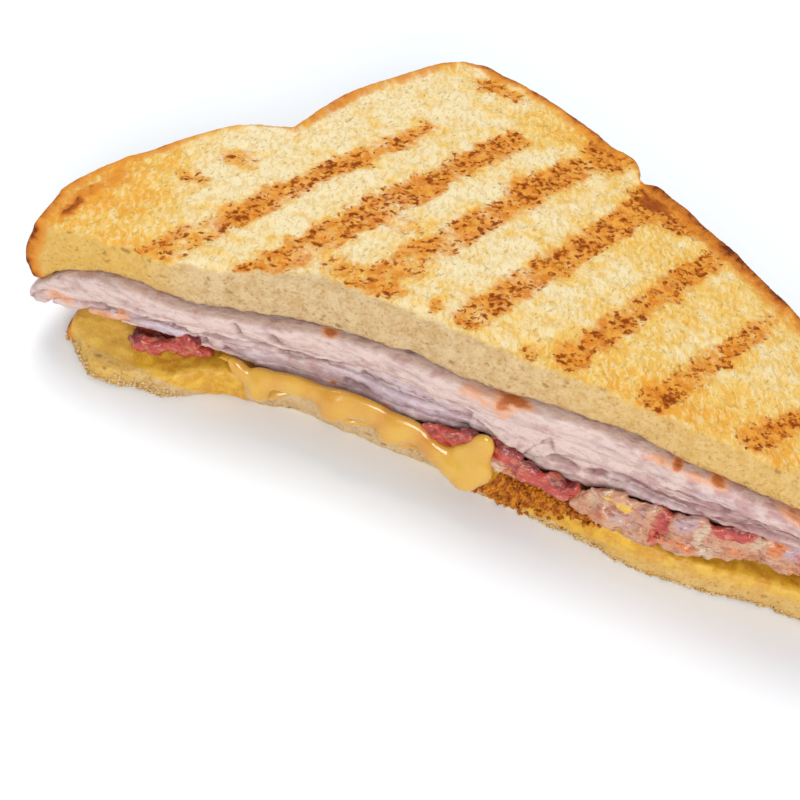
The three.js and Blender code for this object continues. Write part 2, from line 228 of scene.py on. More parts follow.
@dataclass(frozen=True)
class Line:
    """A line through a few points, in millimetres, that runs along the cut."""

    points: tuple[tuple[float, float], ...]

    def at(self, x: np.ndarray) -> np.ndarray:
        """The line's second value at places along the cut, in millimetres."""
        along, value = zip(*self.points)
        return np.interp(x, along, value)

    def distance(self, x: np.ndarray, y: np.ndarray) -> np.ndarray:
        """How far each place is from the line.

        Args:
            x: Places along the cut, in millimetres.
            y: Their second values, in millimetres.

        Returns:
            The distances in millimetres.
        """
        nearest = np.full(len(x), np.inf)
        for (x0, y0), (x1, y1) in zip(self.points, self.points[1:]):
            length_squared = (x1 - x0) ** 2 + (y1 - y0) ** 2
            share = np.clip(((x - x0) * (x1 - x0) + (y - y0) * (y1 - y0)) / length_squared, 0, 1)
            away = np.hypot(x - x0 - share * (x1 - x0), y - y0 - share * (y1 - y0))
            nearest = np.minimum(nearest, away)
        return nearest


def read_places(mesh: bpy.types.Mesh) -> np.ndarray:
    """Reads where the vertices of a mesh are.

    Args:
        mesh: The mesh.

    Returns:
        Their places, one a row.
    """
    places = np.empty(len(mesh.vertices) * 3, np.float32)
    mesh.vertices.foreach_get("co", places)
    return places.reshape(-1, 3).astype(float)


def read_normals(mesh: bpy.types.Mesh) -> np.ndarray:
    """Reads which way the vertices of a mesh face.

    Args:
        mesh: The mesh.

    Returns:
        Their normals, one a row.
    """
    normals = np.empty(len(mesh.vertices) * 3, np.float32)
    mesh.vertex_normals.foreach_get("vector", normals)
    return normals.reshape(-1, 3).astype(float)


def write_places(mesh: bpy.types.Mesh, places: np.ndarray) -> None:
    """Moves the vertices of a mesh.

    Args:
        mesh: The mesh.
        places: The new places, one a row.
    """
    mesh.vertices.foreach_set("co", places.astype(np.float32).ravel())
    mesh.update()


def paint(mesh: bpy.types.Mesh, name: str, values: np.ndarray) -> None:
    """Writes one number a vertex, for the finishes to read.

    Args:
        mesh: The mesh.
        name: The attribute's name.
        values: The numbers.
    """
    layer = mesh.attributes.new(name, "FLOAT", "POINT")
    layer.data.foreach_set("value", np.clip(values, 0.0, 1.0).astype(np.float32))


def choose(piece: bpy.types.Object) -> None:
    """Makes one object the only selected and the active one.

    Args:
        piece: The object.
    """
    bpy.ops.object.select_all(action="DESELECT")
    piece.select_set(True)
    bpy.context.view_layer.objects.active = piece


def apply_modifier(piece: bpy.types.Object, kind: str, **settings: Any) -> None:
    """Adds a modifier to a piece and applies it.

    Args:
        piece: The object.
        kind: The modifier's type.
        **settings: Its settings by name.
    """
    choose(piece)
    modifier = piece.modifiers.new(kind.title(), kind)
    for name, value in settings.items():
        setattr(modifier, name, value)
    bpy.ops.object.modifier_apply(modifier=modifier.name)


def copy_of_solid(node: str, name: str) -> bpy.types.Object:
    """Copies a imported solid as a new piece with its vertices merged.

    Args:
        node: The solid's name.
        name: The new piece's name.

    Returns:
        The new piece.
    """
    piece = bpy.data.objects.new(name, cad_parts[node].data.copy())
    piece.data.name = name
    piece.data.materials.clear()
    bpy.context.scene.collection.objects.link(piece)
    choose(piece)
    bpy.ops.object.mode_set(mode="EDIT")
    bpy.ops.mesh.select_all(action="SELECT")
    bpy.ops.mesh.remove_doubles(threshold=MERGE_DISTANCE)
    bpy.ops.object.mode_set(mode="OBJECT")
    for attribute in list(piece.data.attributes):
        if attribute.name.startswith("custom_normal"):
            piece.data.attributes.remove(attribute)
    return piece


@dataclass(frozen=True)
class Lump:
    """An extra swelling of a soft piece, in millimetres and degrees about Y."""

    middle: tuple[float, float, float]
    radii: tuple[float, float, float]
    tilt: float = 0.0

    def add_to(self, piece: bpy.types.Object) -> None:
        """Joins the swelling to a piece.

        Args:
            piece: The object.
        """
        bpy.ops.object.select_all(action="DESELECT")
        bpy.ops.mesh.primitive_ico_sphere_add(
            subdivisions=3,
            radius=1.0,
            location=[value * MM for value in self.middle],
            rotation=(0.0, math.radians(self.tilt), 0.0),
            scale=[value * MM for value in self.radii],
        )
        piece.select_set(True)
        bpy.context.view_layer.objects.active = piece
        bpy.ops.object.join()


def fine_skin(
    node: str, name: str, voxel: float, smoothing: int = 2, lumps: Sequence[Lump] = ()
) -> bpy.types.Object:
    """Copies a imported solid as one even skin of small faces.

    Args:
        node: The solid's name.
        name: The new piece's name.
        voxel: The size of the faces.
        smoothing: How many times the facets are smoothed.
        lumps: Swellings that the skin goes over too.

    Returns:
        The new piece.
    """
    piece = copy_of_solid(node, name)
    for lump in lumps:
        lump.add_to(piece)
    apply_modifier(piece, "REMESH", mode="VOXEL", voxel_size=voxel, use_smooth_shade=True)
    apply_modifier(piece, "SMOOTH", factor=SMOOTH_FACTOR, iterations=smoothing)
    return piece


def finish_piece(piece: bpy.types.Object, material: bpy.types.Material, slot: str, *nodes: str) -> None:
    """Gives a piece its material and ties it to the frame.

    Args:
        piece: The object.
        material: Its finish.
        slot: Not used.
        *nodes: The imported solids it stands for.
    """
    piece.data.materials.clear()
    piece.data.materials.append(material)
    choose(piece)
    bpy.ops.object.shade_smooth()
    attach(piece, BODY)
    if nodes:
        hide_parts(*nodes)
    piece.data.calc_loop_triangles()
    log.info("%s: %d triangles", piece.name, len(piece.data.loop_triangles))


class Sketch:
    """A shader tree that is being drawn. Most methods add nodes and give back what they put out."""

    def __init__(self, tree: bpy.types.NodeTree) -> None:
        """Starts on the node tree of a material or a group."""
        self.tree = tree

    def feed(self, socket: bpy.types.NodeSocket, value: Any) -> None:
        """Links a socket to another one, or sets its number or colour.

        Args:
            socket: The input.
            value: An output socket, a number or a tuple.
        """
        if isinstance(value, bpy.types.NodeSocket):
            self.tree.links.new(value, socket)
        else:
            socket.default_value = value

    def node(self, kind: str, inputs: dict[int | str, Any], **settings: Any) -> bpy.types.Node:
        """Adds any node.

        Args:
            kind: The node's type.
            inputs: Values or links by socket name or number.
            **settings: The node's own settings.

        Returns:
            The node.
        """
        made = self.tree.nodes.new(kind)
        for name, value in settings.items():
            setattr(made, name, value)
        for key, value in inputs.items():
            self.feed(made.inputs[key], value)
        return made

    def millimetres(self) -> bpy.types.NodeSocket:
        """The place on the object, in millimetres."""
        place = self.node("ShaderNodeTexCoord", {}).outputs["Object"]
        return self._vector("SCALE", {0: place, "Scale": 1 / MM})

    def _vector(self, operation: str, inputs: dict[int | str, Any]) -> bpy.types.NodeSocket:
        """One sum with places."""
        return self.node("ShaderNodeVectorMath", inputs, operation=operation).outputs[0]

    def turned(self, vector: Any, turn: float, stretch: Sequence[float]) -> bpy.types.NodeSocket:
        """Turns a place about Z and then stretches the pattern read there.

        Args:
            vector: The place.
            turn: The turn about Z, in radians.
            stretch: How many times longer the pattern is along each axis.

        Returns:
            The new place.
        """
        inputs = {"Vector": vector, "Angle": -turn}
        about_z = self.node("ShaderNodeVectorRotate", inputs, rotation_type="Z_AXIS")
        shrink = tuple(1 / times for times in stretch)
        return self._vector("MULTIPLY", {0: about_z.outputs[0], 1: shrink})

    def noise(
        self, vector: Any, size: float, detail: float = 2.0, roughness: float = 0.5
    ) -> bpy.types.NodeSocket:
        """Cloudy noise from 0 to 1. The size of its clouds is in millimetres."""
        inputs = {"Vector": vector, "Scale": 1 / size, "Detail": detail, "Roughness": roughness}
        return self.node("ShaderNodeTexNoise", inputs).outputs[0]

    def haze(
        self, vector: Any, size: float, detail: float = 2.0, roughness: float = 0.5
    ) -> bpy.types.NodeSocket:
        """The same cloudy noise as noise gives, but from -0.5 to 0.5."""
        return self.minus(self.noise(vector, size, detail, roughness), 0.5)

    def bent(self, vector: Any, size: float) -> bpy.types.NodeSocket:
        """Shifts a place a little at random, to bend the pattern read there.

        Args:
            vector: The place, in millimetres.
            size: The size of the bends and twice their reach, in millimetres.

        Returns:
            The new place.
        """
        made = self.node("ShaderNodeTexNoise", {"Vector": vector, "Scale": 1 / size, "Detail": 1.0})
        centred = self._vector("SUBTRACT", {0: made.outputs["Color"], 1: (0.5, 0.5, 0.5)})
        shift = self._vector("SCALE", {0: centred, "Scale": size})
        return self._vector("ADD", {0: vector, 1: shift})

    def cells(self, vector: Any, size: float) -> tuple[bpy.types.NodeSocket, bpy.types.NodeSocket]:
        """Scattered cells.

        Args:
            vector: The place, in millimetres.
            size: The distance between neighbours, in millimetres.

        Returns:
            The distance to the nearest cell's middle, in sizes, and that cell's luck, from 0 to 1.
        """
        made = self.node("ShaderNodeTexVoronoi", {"Vector": vector, "Scale": 1 / size})
        luck = self.node("ShaderNodeSeparateColor", {0: made.outputs["Color"]}).outputs[0]
        return made.outputs["Distance"], luck

    def math(self, operation: str, first: Any, second: Any, clamp: bool = False) -> bpy.types.NodeSocket:
        """One sum of two numbers, kept between 0 and 1 where clamp is set."""
        made = self.node("ShaderNodeMath", {0: first, 1: second}, operation=operation, use_clamp=clamp)
        return made.outputs[0]

    def plus(self, first: Any, second: Any) -> bpy.types.NodeSocket:
        """Adds two numbers."""
        return self.math("ADD", first, second)

    def minus(self, first: Any, second: Any) -> bpy.types.NodeSocket:
        """Takes the second number from the first."""
        return self.math("SUBTRACT", first, second)

    def times(self, first: Any, second: Any) -> bpy.types.NodeSocket:
        """Multiplies two numbers."""
        return self.math("MULTIPLY", first, second)

    def step(self, value: Any, low: float, high: float, to: tuple[float, float] = (0.0, 1.0)) -> Any:
        """A soft step between the two numbers of to, from the value low to the value high."""
        inputs = {0: value, 1: low, 2: high, 3: to[0], 4: to[1]}
        return self.node("ShaderNodeMapRange", inputs, interpolation_type="SMOOTHSTEP").outputs[0]

    def blend(self, first: Any, second: Any, share: Any) -> bpy.types.NodeSocket:
        """Blends two colours, with share as how much of the second."""
        inputs = {0: share, 6: first, 7: second}
        return self.node("ShaderNodeMix", inputs, data_type="RGBA", clamp_factor=True).outputs[2]

    def tinted(self, colour: Any, tint: Any, share: Any, strength: Any) -> bpy.types.NodeSocket:
        """Lays a tint over a colour where share is, as strongly as strength says."""
        return self.blend(colour, tint, self.times(share, strength))

    def mask(self, name: str) -> bpy.types.NodeSocket:
        """A number painted on the mesh."""
        return self.node("ShaderNodeAttribute", {}, attribute_name=name).outputs["Fac"]

    def group(self, tree: bpy.types.NodeTree, **inputs: Any) -> bpy.types.Node:
        """Places a shared effect, with its inputs by name."""
        return self.node("ShaderNodeGroup", inputs, node_tree=tree)

    def bump(self, height: Any, depth: float) -> bpy.types.NodeSocket:
        """Turns heights from 0 to 1 into a normal, where 1 is as high as depth, in metres."""
        inputs = {"Height": height, "Distance": depth, "Strength": 1.0}
        return self.node("ShaderNodeBump", inputs).outputs[0]


def new_material(name: str) -> tuple[bpy.types.Material, Sketch, bpy.types.Node]:
    """Starts a material.

    Args:
        name: Its name.

    Returns:
        The material, a sketch of its tree, and its Principled shader.
    """
    material = bpy.data.materials.new(name)
    material.use_nodes = True
    shader = material.node_tree.nodes["Principled BSDF"]
    return material, Sketch(material.node_tree), shader


class Effects:
    """The shader effects that the finishes use, each made once."""

    def __init__(self) -> None:
        """Makes the groups."""
        self.grain = self._crumb_grain()
        self.char = self._char()
        self.meat = self._meat_grain()

    @staticmethod
    def _start(name: str, inputs: dict[str, str], outputs: Sequence[str]) -> tuple[Any, Sketch, Any, Any]:
        """Starts a node group.

        Args:
            name: Its name.
            inputs: Socket types by name.
            outputs: The names of the numbers that it puts out.

        Returns:
            The tree, a sketch of it, and its input and output nodes.
        """
        tree = bpy.data.node_groups.new(name, "ShaderNodeTree")
        for label, kind in inputs.items():
            tree.interface.new_socket(name=label, in_out="INPUT", socket_type=kind)
        for label in outputs:
            tree.interface.new_socket(name=label, in_out="OUTPUT", socket_type=FLOAT_SOCKET)
        entry = tree.nodes.new("NodeGroupInput")
        leaving = tree.nodes.new("NodeGroupOutput")
        return tree, Sketch(tree), entry, leaving

    def _crumb_grain(self) -> bpy.types.NodeTree:
        """The strands and small pores of bread.

        Returns:
            A group that puts out Strand, Lump, Pore and Height, each from 0 to 1.
        """
        tree, draw, entry, leaving = self._start(
            "Crumb grain", {"Place": VECTOR_SOCKET}, ("Strand", "Lump", "Pore", "Height")
        )
        place = entry.outputs["Place"]
        bent = draw.bent(place, 1.4)
        strand = draw.noise(draw.turned(bent, math.radians(105), (2.8, 1.0, 1.2)), 0.66, 2.0, 0.6)
        lump = draw.noise(place, 2.2, 4.0, 0.62)
        distance, luck = draw.cells(draw.turned(bent, math.radians(-20), (1.5, 1.0, 1.0)), 1.5)
        reach = draw.plus(draw.times(luck, 0.3), 0.02)
        hole = draw.step(draw.minus(reach, distance), -0.08, 0.14)
        pore = draw.times(hole, draw.step(luck, 0.45, 0.8))
        height = draw.plus(draw.times(strand, 0.6), draw.times(lump, 0.4))
        height = draw.minus(height, draw.times(pore, 0.16))
        draw.feed(leaving.inputs["Strand"], draw.step(strand, 0.34, 0.66))
        draw.feed(leaving.inputs["Lump"], draw.step(lump, 0.36, 0.64))
        draw.feed(leaving.inputs["Pore"], pore)
        draw.feed(leaving.inputs["Height"], height)
        return tree

    def _char(self) -> bpy.types.NodeTree:
        """Browning that breaks up into short dark flecks where it is strong.

        Returns:
            A group that puts out Brown, Fleck, Core and Burn, each from 0 to 1.
        """
        inputs = {"Place": VECTOR_SOCKET, "Heat": FLOAT_SOCKET}
        tree, draw, entry, leaving = self._start("Char", inputs, ("Brown", "Fleck", "Core", "Burn"))
        place = entry.outputs["Place"]
        heat = entry.outputs["Heat"]
        cloud = draw.haze(place, 1.5, 3.0, 0.65)
        broad = draw.haze(place, 4.5, 2.0, 0.5)
        ragged = draw.plus(heat, draw.times(cloud, 1.5))
        brown = draw.times(draw.step(ragged, 0.05, 0.9), draw.step(heat, 0.02, 0.3))
        bent = draw.bent(place, 0.9)
        dashes = draw.noise(draw.turned(bent, math.radians(35), (1.2, 1.0, 1.0)), 0.78, 1.0, 0.5)
        distance, luck = draw.cells(draw.turned(bent, math.radians(60), (1.3, 1.0, 1.0)), 1.2)
        dots = draw.minus(draw.times(luck, 0.35), draw.times(distance, 0.55))
        blots = draw.plus(dashes, draw.times(dots, 0.62))
        limit = draw.minus(0.7, draw.times(draw.math("MINIMUM", heat, 1.0), 0.21))
        limit = draw.minus(limit, draw.times(broad, 0.2))
        over = draw.minus(blots, limit)
        there = draw.step(heat, 0.08, 0.45)
        draw.feed(leaving.inputs["Brown"], brown)
        draw.feed(leaving.inputs["Fleck"], draw.times(draw.step(over, -0.05, 0.04), there))
        draw.feed(leaving.inputs["Core"], draw.times(draw.step(over, 0.05, 0.15), there))
        draw.feed(leaving.inputs["Burn"], draw.step(draw.plus(heat, cloud), 1.15, 1.6))
        return tree

    def _meat_grain(self) -> bpy.types.NodeTree:
        """The mottle and the fine strands of sliced meat.

        Returns:
            A group that puts out Mottle, Strand and Height, each from 0 to 1.
        """
        tree, draw, entry, leaving = self._start(
            "Meat grain", {"Place": VECTOR_SOCKET}, ("Mottle", "Strand", "Height")
        )
        place = entry.outputs["Place"]
        mottle = draw.noise(place, 2.6, 4.0, 0.62)
        strand = draw.noise(draw.turned(place, math.radians(8), (2.4, 1.2, 0.8)), 0.9, 3.0, 0.6)
        grit = draw.noise(place, 0.45, 2.0, 0.6)
        height = draw.plus(draw.times(strand, 0.6), draw.times(grit, 0.4))
        draw.feed(leaving.inputs["Mottle"], draw.step(mottle, 0.34, 0.66))
        draw.feed(leaving.inputs["Strand"], draw.step(strand, 0.35, 0.65))
        draw.feed(leaving.inputs["Height"], height)
        return tree


@dataclass(frozen=True)
class Moisture:
    """How far light sinks into a moist food, and the wet coat over it."""

    weight: float
    radius: tuple[float, float, float]
    scale: float
    coat: float = 0.0
    coat_roughness: float = 0.03

    def wet(self, shader: bpy.types.Node) -> None:
        """Sets a shader's own constants.

        Args:
            shader: The Principled shader.
        """
        constants = {
            "Subsurface Weight": self.weight,
            "Subsurface Radius": self.radius,
            "Subsurface Scale": self.scale,
            "Coat Weight": self.coat,
            "Coat Roughness": self.coat_roughness,
        }
        for name, value in constants.items():
            shader.inputs[name].default_value = value


@dataclass(frozen=True)
class ToastFinish:
    """Grilled bread: pale crumb, toasted face, brown crust and the bare crumb of the cut.

    Roughness and specular hold the dry and the soaked value, bump_share the toasted and the bare one.
    """

    name: str = "toasted bread"
    cream: Colour = rgb(255, 234, 186)
    butter: Colour = rgb(252, 204, 106)
    straw_shade: Colour = rgb(232, 184, 90)
    # straw is crumb grain and painted shade in the troughs between strands.
    golden: Colour = rgb(246, 162, 44)
    olive: Colour = rgb(196, 152, 70)
    orange: Colour = rgb(226, 128, 30)
    light_orange: Colour = rgb(244, 166, 66)
    fleck: Colour = rgb(186, 92, 18)
    char: Colour = rgb(130, 54, 6)
    burn: Colour = rgb(156, 62, 18)
    glow: Colour = rgb(232, 144, 50)
    crust: Colour = rgb(178, 88, 26)
    dark_crust: Colour = rgb(96, 38, 14)
    crumb: Colour = rgb(213, 174, 122)
    warm_crumb: Colour = rgb(228, 178, 84)
    light_crumb: Colour = rgb(237, 210, 164)
    light_warm_crumb: Colour = rgb(238, 194, 112)
    # pore is painted shade in the pores, and also darkens the crumb at random.
    pore: Colour = rgb(150, 108, 58)
    soaked: Colour = rgb(244, 190, 44)
    deep_soaked: Colour = rgb(224, 156, 16)
    amber: Colour = rgb(206, 116, 20)
    roughness: tuple[float, float] = (0.85, 0.42)
    specular: tuple[float, float] = (0.1, 0.4)
    bump_share: tuple[float, float] = (1.0, 0.5)
    bump_depth: float = 0.5 * MM
    fleck_depth: float = 0.2

    def material(self, effects: Effects) -> bpy.types.Material:
        """Makes the finish.

        Args:
            effects: The shared effects.

        Returns:
            The material. It reads browning, toast, rim, baked, cut, warm, soak and crisp from the mesh.
        """
        material, draw, shader = new_material(self.name)
        place = draw.millimetres()
        grain = draw.group(effects.grain, Place=place)
        heat = draw.times(draw.mask("browning"), MOST_HEAT)
        char = draw.group(effects.char, Place=place, Heat=heat)
        fleck = char.outputs["Fleck"]
        soak = draw.mask("soak")
        cut = draw.mask("cut")

        colour = draw.blend(self._face(draw, place, grain, char), self._inside(draw, place, grain), cut)
        colour = self._crusted(draw, place, colour)
        deeper = draw.step(draw.noise(place, 2.4, 4.0, 0.6), 0.4, 0.62)
        wet = draw.blend(self.soaked, self.deep_soaked, deeper)
        wet = draw.tinted(wet, self.butter, draw.step(grain.outputs["Strand"], 0.6, 1.0), 0.3)
        wet = draw.blend(wet, self.butter, draw.step(draw.mask("warm"), 0.65, 0.9, (0.0, 0.45)))
        colour = draw.tinted(colour, wet, soak, 0.92)
        colour = draw.tinted(colour, self.amber, draw.mask("crisp"), 0.85)

        draw.feed(shader.inputs["Base Color"], colour)
        draw.feed(shader.inputs["Roughness"], draw.step(soak, 0.0, 1.0, self.roughness))
        draw.feed(shader.inputs["Specular IOR Level"], draw.step(soak, 0.0, 1.0, self.specular))
        height = draw.minus(grain.outputs["Height"], draw.times(fleck, self.fleck_depth))
        height = draw.times(height, draw.step(cut, 0.0, 1.0, self.bump_share))
        draw.feed(shader.inputs["Normal"], draw.bump(height, self.bump_depth))
        return material

    def _face(self, draw: Sketch, place: Any, grain: bpy.types.Node, char: bpy.types.Node) -> Any:
        """The grilled face's colour.

        Args:
            draw: The material's sketch.
            place: The place, in millimetres.
            grain: The crumb grain's node.
            char: The char's node.

        Returns:
            The colour's socket.
        """
        patch = draw.haze(place, 6.0, 3.0, 0.6)
        toast = draw.plus(draw.mask("toast"), draw.times(patch, 1.35))
        small_patch = draw.haze(place, 2.0, 3.0, 0.6)
        toast = draw.plus(toast, draw.times(small_patch, 0.9))
        strand = grain.outputs["Strand"]
        face = draw.blend(self.cream, self.butter, draw.step(toast, 0.0, 0.55))
        # The strands are painted darker and lighter: crumb grain, and painted shade and highlight on the
        # fibres.
        face = draw.tinted(face, self.straw_shade, draw.step(strand, 0.5, 0.0), 0.46)
        face = draw.tinted(face, self.cream, draw.step(strand, 0.65, 1.0), 0.5)
        toast = draw.plus(toast, draw.times(draw.minus(0.5, strand), 0.3))
        face = draw.tinted(face, self.golden, draw.step(toast, 0.45, 1.2), 0.85)
        specks = draw.noise(draw.turned(place, math.radians(75), (1.8, 1.0, 1.0)), 0.6, 1.0)
        face = draw.tinted(face, self.olive, draw.step(specks, 0.6, 0.76), 0.6)

        lighter = draw.step(draw.noise(place, 1.3, 3.0, 0.6), 0.4, 0.62)
        seared = draw.blend(self.orange, self.light_orange, lighter)
        face = draw.tinted(face, seared, char.outputs["Brown"], 0.92)
        face = draw.tinted(face, self.fleck, char.outputs["Fleck"], 0.85)
        face = draw.tinted(face, self.char, char.outputs["Core"], 0.8)
        return draw.tinted(face, self.burn, char.outputs["Burn"], 0.85)

    def _inside(self, draw: Sketch, place: Any, grain: bpy.types.Node) -> Any:
        """The bare crumb's colour.

        Args:
            draw: The material's sketch.
            place: The place, in millimetres.
            grain: The crumb grain's node.

        Returns:
            The colour's socket.
        """
        inner = draw.blend(self.crumb, self.warm_crumb, draw.mask("warm"))
        light = draw.blend(self.light_crumb, self.light_warm_crumb, draw.mask("warm"))
        inner = draw.tinted(inner, light, grain.outputs["Lump"], 0.55)
        fine = draw.noise(place, 0.55, 3.0, 0.65)
        inner = draw.tinted(inner, light, draw.step(fine, 0.5, 0.75), 0.5)
        # The fine noise darkens the crumb at random; the pores get painted shade.
        inner = draw.tinted(inner, self.pore, draw.step(fine, 0.47, 0.27), 0.55)
        return draw.tinted(inner, self.pore, grain.outputs["Pore"], 0.62)

    def _crusted(self, draw: Sketch, place: Any, colour: Any) -> Any:
        """Adds the crust and the glow beside it.

        Args:
            draw: The material's sketch.
            place: The place, in millimetres.
            colour: The colour under it.

        Returns:
            The colour's socket.
        """
        rim = draw.mask("rim")
        baked = draw.mask("baked")
        cloud = draw.haze(place, 2.2, 4.0, 0.65)
        broad = draw.haze(place, 7.0, 2.0, 0.5)
        near = draw.plus(rim, draw.times(cloud, 0.75))
        near = draw.plus(near, draw.times(broad, 0.6))
        glow = draw.times(draw.step(near, 0.1, 0.6), draw.step(rim, 0.02, 0.2))
        colour = draw.tinted(colour, self.glow, glow, draw.step(baked, 0.0, 0.7, (0.25, 0.9)))
        darker = draw.plus(near, draw.times(draw.minus(baked, 0.9), 0.8))
        bark = draw.times(draw.step(darker, 0.46, 0.9), draw.step(baked, 0.1, 0.8, (0.3, 0.92)))
        colour = draw.blend(colour, self.crust, bark)
        grit = draw.haze(place, 0.9, 2.0, 0.6)
        scorched = draw.plus(darker, draw.times(grit, 0.8))
        scorch = draw.times(draw.step(scorched, 0.72, 1.1), draw.step(baked, 0.4, 0.9))
        return draw.tinted(colour, self.dark_crust, scorch, 0.85)


@dataclass(frozen=True)
class TurkeyFinish:
    """Sliced turkey: pale, moist, with creases darkened by painted shade, and roasted rims."""

    name: str = "sliced turkey"
    pale: Colour = rgb(234, 205, 194)
    pink: Colour = rgb(208, 162, 156)
    lilac: Colour = rgb(222, 204, 220)
    # crease is painted shade for the creases, the lines where leaves meet and the shadow just under a lip.
    crease: Colour = rgb(134, 82, 82)
    peach: Colour = rgb(240, 176, 138)
    roast: Colour = rgb(206, 116, 58)
    dark_roast: Colour = rgb(124, 52, 26)
    roughness: tuple[float, float] = (0.36, 0.56)
    moisture: Moisture = Moisture(0.2, (1.0, 0.5, 0.42), 1.4 * MM)
    bump_depth: float = 0.34 * MM

    def material(self, effects: Effects) -> bpy.types.Material:
        """Makes the finish.

        Args:
            effects: The shared effects.

        Returns:
            The material. It reads crease, which is painted shade, and pale, lilac and roast, painted on the
            mesh.
        """
        material, draw, shader = new_material(self.name)
        place = draw.millimetres()
        grain = draw.group(effects.meat, Place=place)
        mottle, strand, height = (grain.outputs[i] for i in range(3))
        share = draw.plus(draw.mask("pale"), draw.times(draw.minus(mottle, 0.5), 0.7))
        colour = draw.blend(self.pink, self.pale, draw.step(share, 0.1, 0.9))
        colour = draw.tinted(colour, self.lilac, draw.mask("lilac"), 0.75)
        colour = draw.tinted(colour, self.crease, draw.step(strand, 0.45, 0.0), 0.2)
        # Painted shade in the creases, between leaves and just under the lip.
        colour = draw.tinted(colour, self.crease, draw.mask("crease"), 0.75)
        cloud = draw.times(draw.haze(place, 1.5, 3.0), 0.9)
        heat = draw.plus(draw.mask("roast"), cloud)
        there = draw.step(draw.mask("roast"), 0.02, 0.25)
        colour = draw.tinted(colour, self.peach, draw.step(heat, 0.0, 0.5), there)
        colour = draw.tinted(colour, self.roast, draw.step(heat, 0.45, 0.85), there)
        colour = draw.tinted(colour, self.dark_roast, draw.step(heat, 0.9, 1.3), there)
        draw.feed(shader.inputs["Base Color"], colour)
        draw.feed(shader.inputs["Roughness"], draw.step(mottle, 0.0, 1.0, self.roughness))
        self.moisture.wet(shader)
        draw.feed(shader.inputs["Normal"], draw.bump(height, self.bump_depth))
        return material


@dataclass(frozen=True)
class CheddarFinish:
    """Melted cheddar: glossy, golden, with painted shade that deepens the gold in the hollows between its
    swellings.
    """

    name: str = "melted cheddar"
    bright: Colour = rgb(232, 178, 54)
    # deep is laid as painted shade in the hollows, and at random.
    deep: Colour = rgb(220, 148, 26)
    roughness: tuple[float, float] = (0.2, 0.34)
    moisture: Moisture = Moisture(0.15, (1.0, 0.5, 0.12), 1.6 * MM, 0.6, 0.1)
    bump_depth: float = 0.06 * MM

    def material(self) -> bpy.types.Material:
        """Makes the finish.

        Returns:
            The material. It reads the painted shade of the hollows from the mesh.
        """
        material, draw, shader = new_material(self.name)
        place = draw.millimetres()
        cloud = draw.step(draw.noise(place, 4.5, 3.0, 0.5), 0.35, 0.65)
        # Deeper gold at random, and as painted shade in the hollows.
        share = draw.math("ADD", draw.times(cloud, 0.4), draw.mask("hollow_shade"), clamp=True)
        colour = draw.blend(self.bright, self.deep, share)
        draw.feed(shader.inputs["Base Color"], colour)
        grease = draw.noise(place, 2.2, 3.0, 0.6)
        draw.feed(shader.inputs["Roughness"], draw.step(grease, 0.3, 0.7, self.roughness))
        self.moisture.wet(shader)
        draw.feed(shader.inputs["Normal"], draw.bump(draw.noise(place, 1.6, 2.0), self.bump_depth))
        return material


@dataclass(frozen=True)
class BaconFinish:
    """Fried bacon: red lean meat, pink and cream fat, greasy highlights, and painted highlights in a few
    cream and lilac spots.
    """

    name: str = "streaky bacon"
    fat: Colour = rgb(216, 152, 114)
    cream: Colour = rgb(226, 196, 164)
    lilac: Colour = rgb(198, 162, 164)
    lean: Colour = rgb(202, 66, 48)
    dark_lean: Colour = rgb(140, 34, 36)
    amber: Colour = rgb(232, 130, 58)
    gold: Colour = rgb(246, 200, 60)
    roughness: tuple[float, float] = (0.22, 0.42)
    moisture: Moisture = Moisture(0.15, (1.0, 0.4, 0.3), 1.2 * MM, 0.45, 0.12)
    bump_depth: float = 0.5 * MM

    def material(self, effects: Effects) -> bpy.types.Material:
        """Makes the finish.

        Args:
            effects: The shared effects.

        Returns:
            The material. It reads lean, dark, amber, cream, lilac and gold, painted on the mesh.
        """
        material, draw, shader = new_material(self.name)
        place = draw.millimetres()
        grain = draw.group(effects.meat, Place=place)
        mottle, strand, height = (grain.outputs[i] for i in range(3))
        cloud = draw.haze(place, 1.3, 4.0, 0.62)

        def share(name: str, raggedness: float, low: float, high: float) -> Any:
            """One tint's ragged share."""
            wavy = draw.plus(draw.mask(name), draw.times(cloud, raggedness))
            return draw.times(draw.step(wavy, low, high), draw.step(draw.mask(name), 0.02, 0.2))

        colour = draw.tinted(self.fat, self.cream, draw.step(mottle, 0.55, 1.0), 0.5)
        colour = draw.blend(colour, self.lilac, share("lilac", 0.8, 0.2, 0.7))
        colour = draw.blend(colour, self.cream, share("cream", 0.9, 0.25, 0.75))
        colour = draw.blend(colour, self.gold, share("gold", 0.9, 0.3, 0.8))
        colour = draw.blend(colour, self.amber, share("amber", 1.0, 0.3, 0.8))
        colour = draw.blend(colour, self.lean, share("lean", 1.2, 0.25, 0.6))
        colour = draw.blend(colour, self.dark_lean, share("dark", 1.2, 0.3, 0.8))
        colour = draw.tinted(colour, self.fat, draw.step(strand, 0.62, 1.0), 0.42)
        colour = draw.tinted(colour, self.dark_lean, draw.step(strand, 0.38, 0.0), 0.5)
        draw.feed(shader.inputs["Base Color"], colour)
        draw.feed(shader.inputs["Roughness"], draw.step(mottle, 0.0, 1.0, self.roughness))
        self.moisture.wet(shader)
        draw.feed(shader.inputs["Normal"], draw.bump(height, self.bump_depth))
        return material


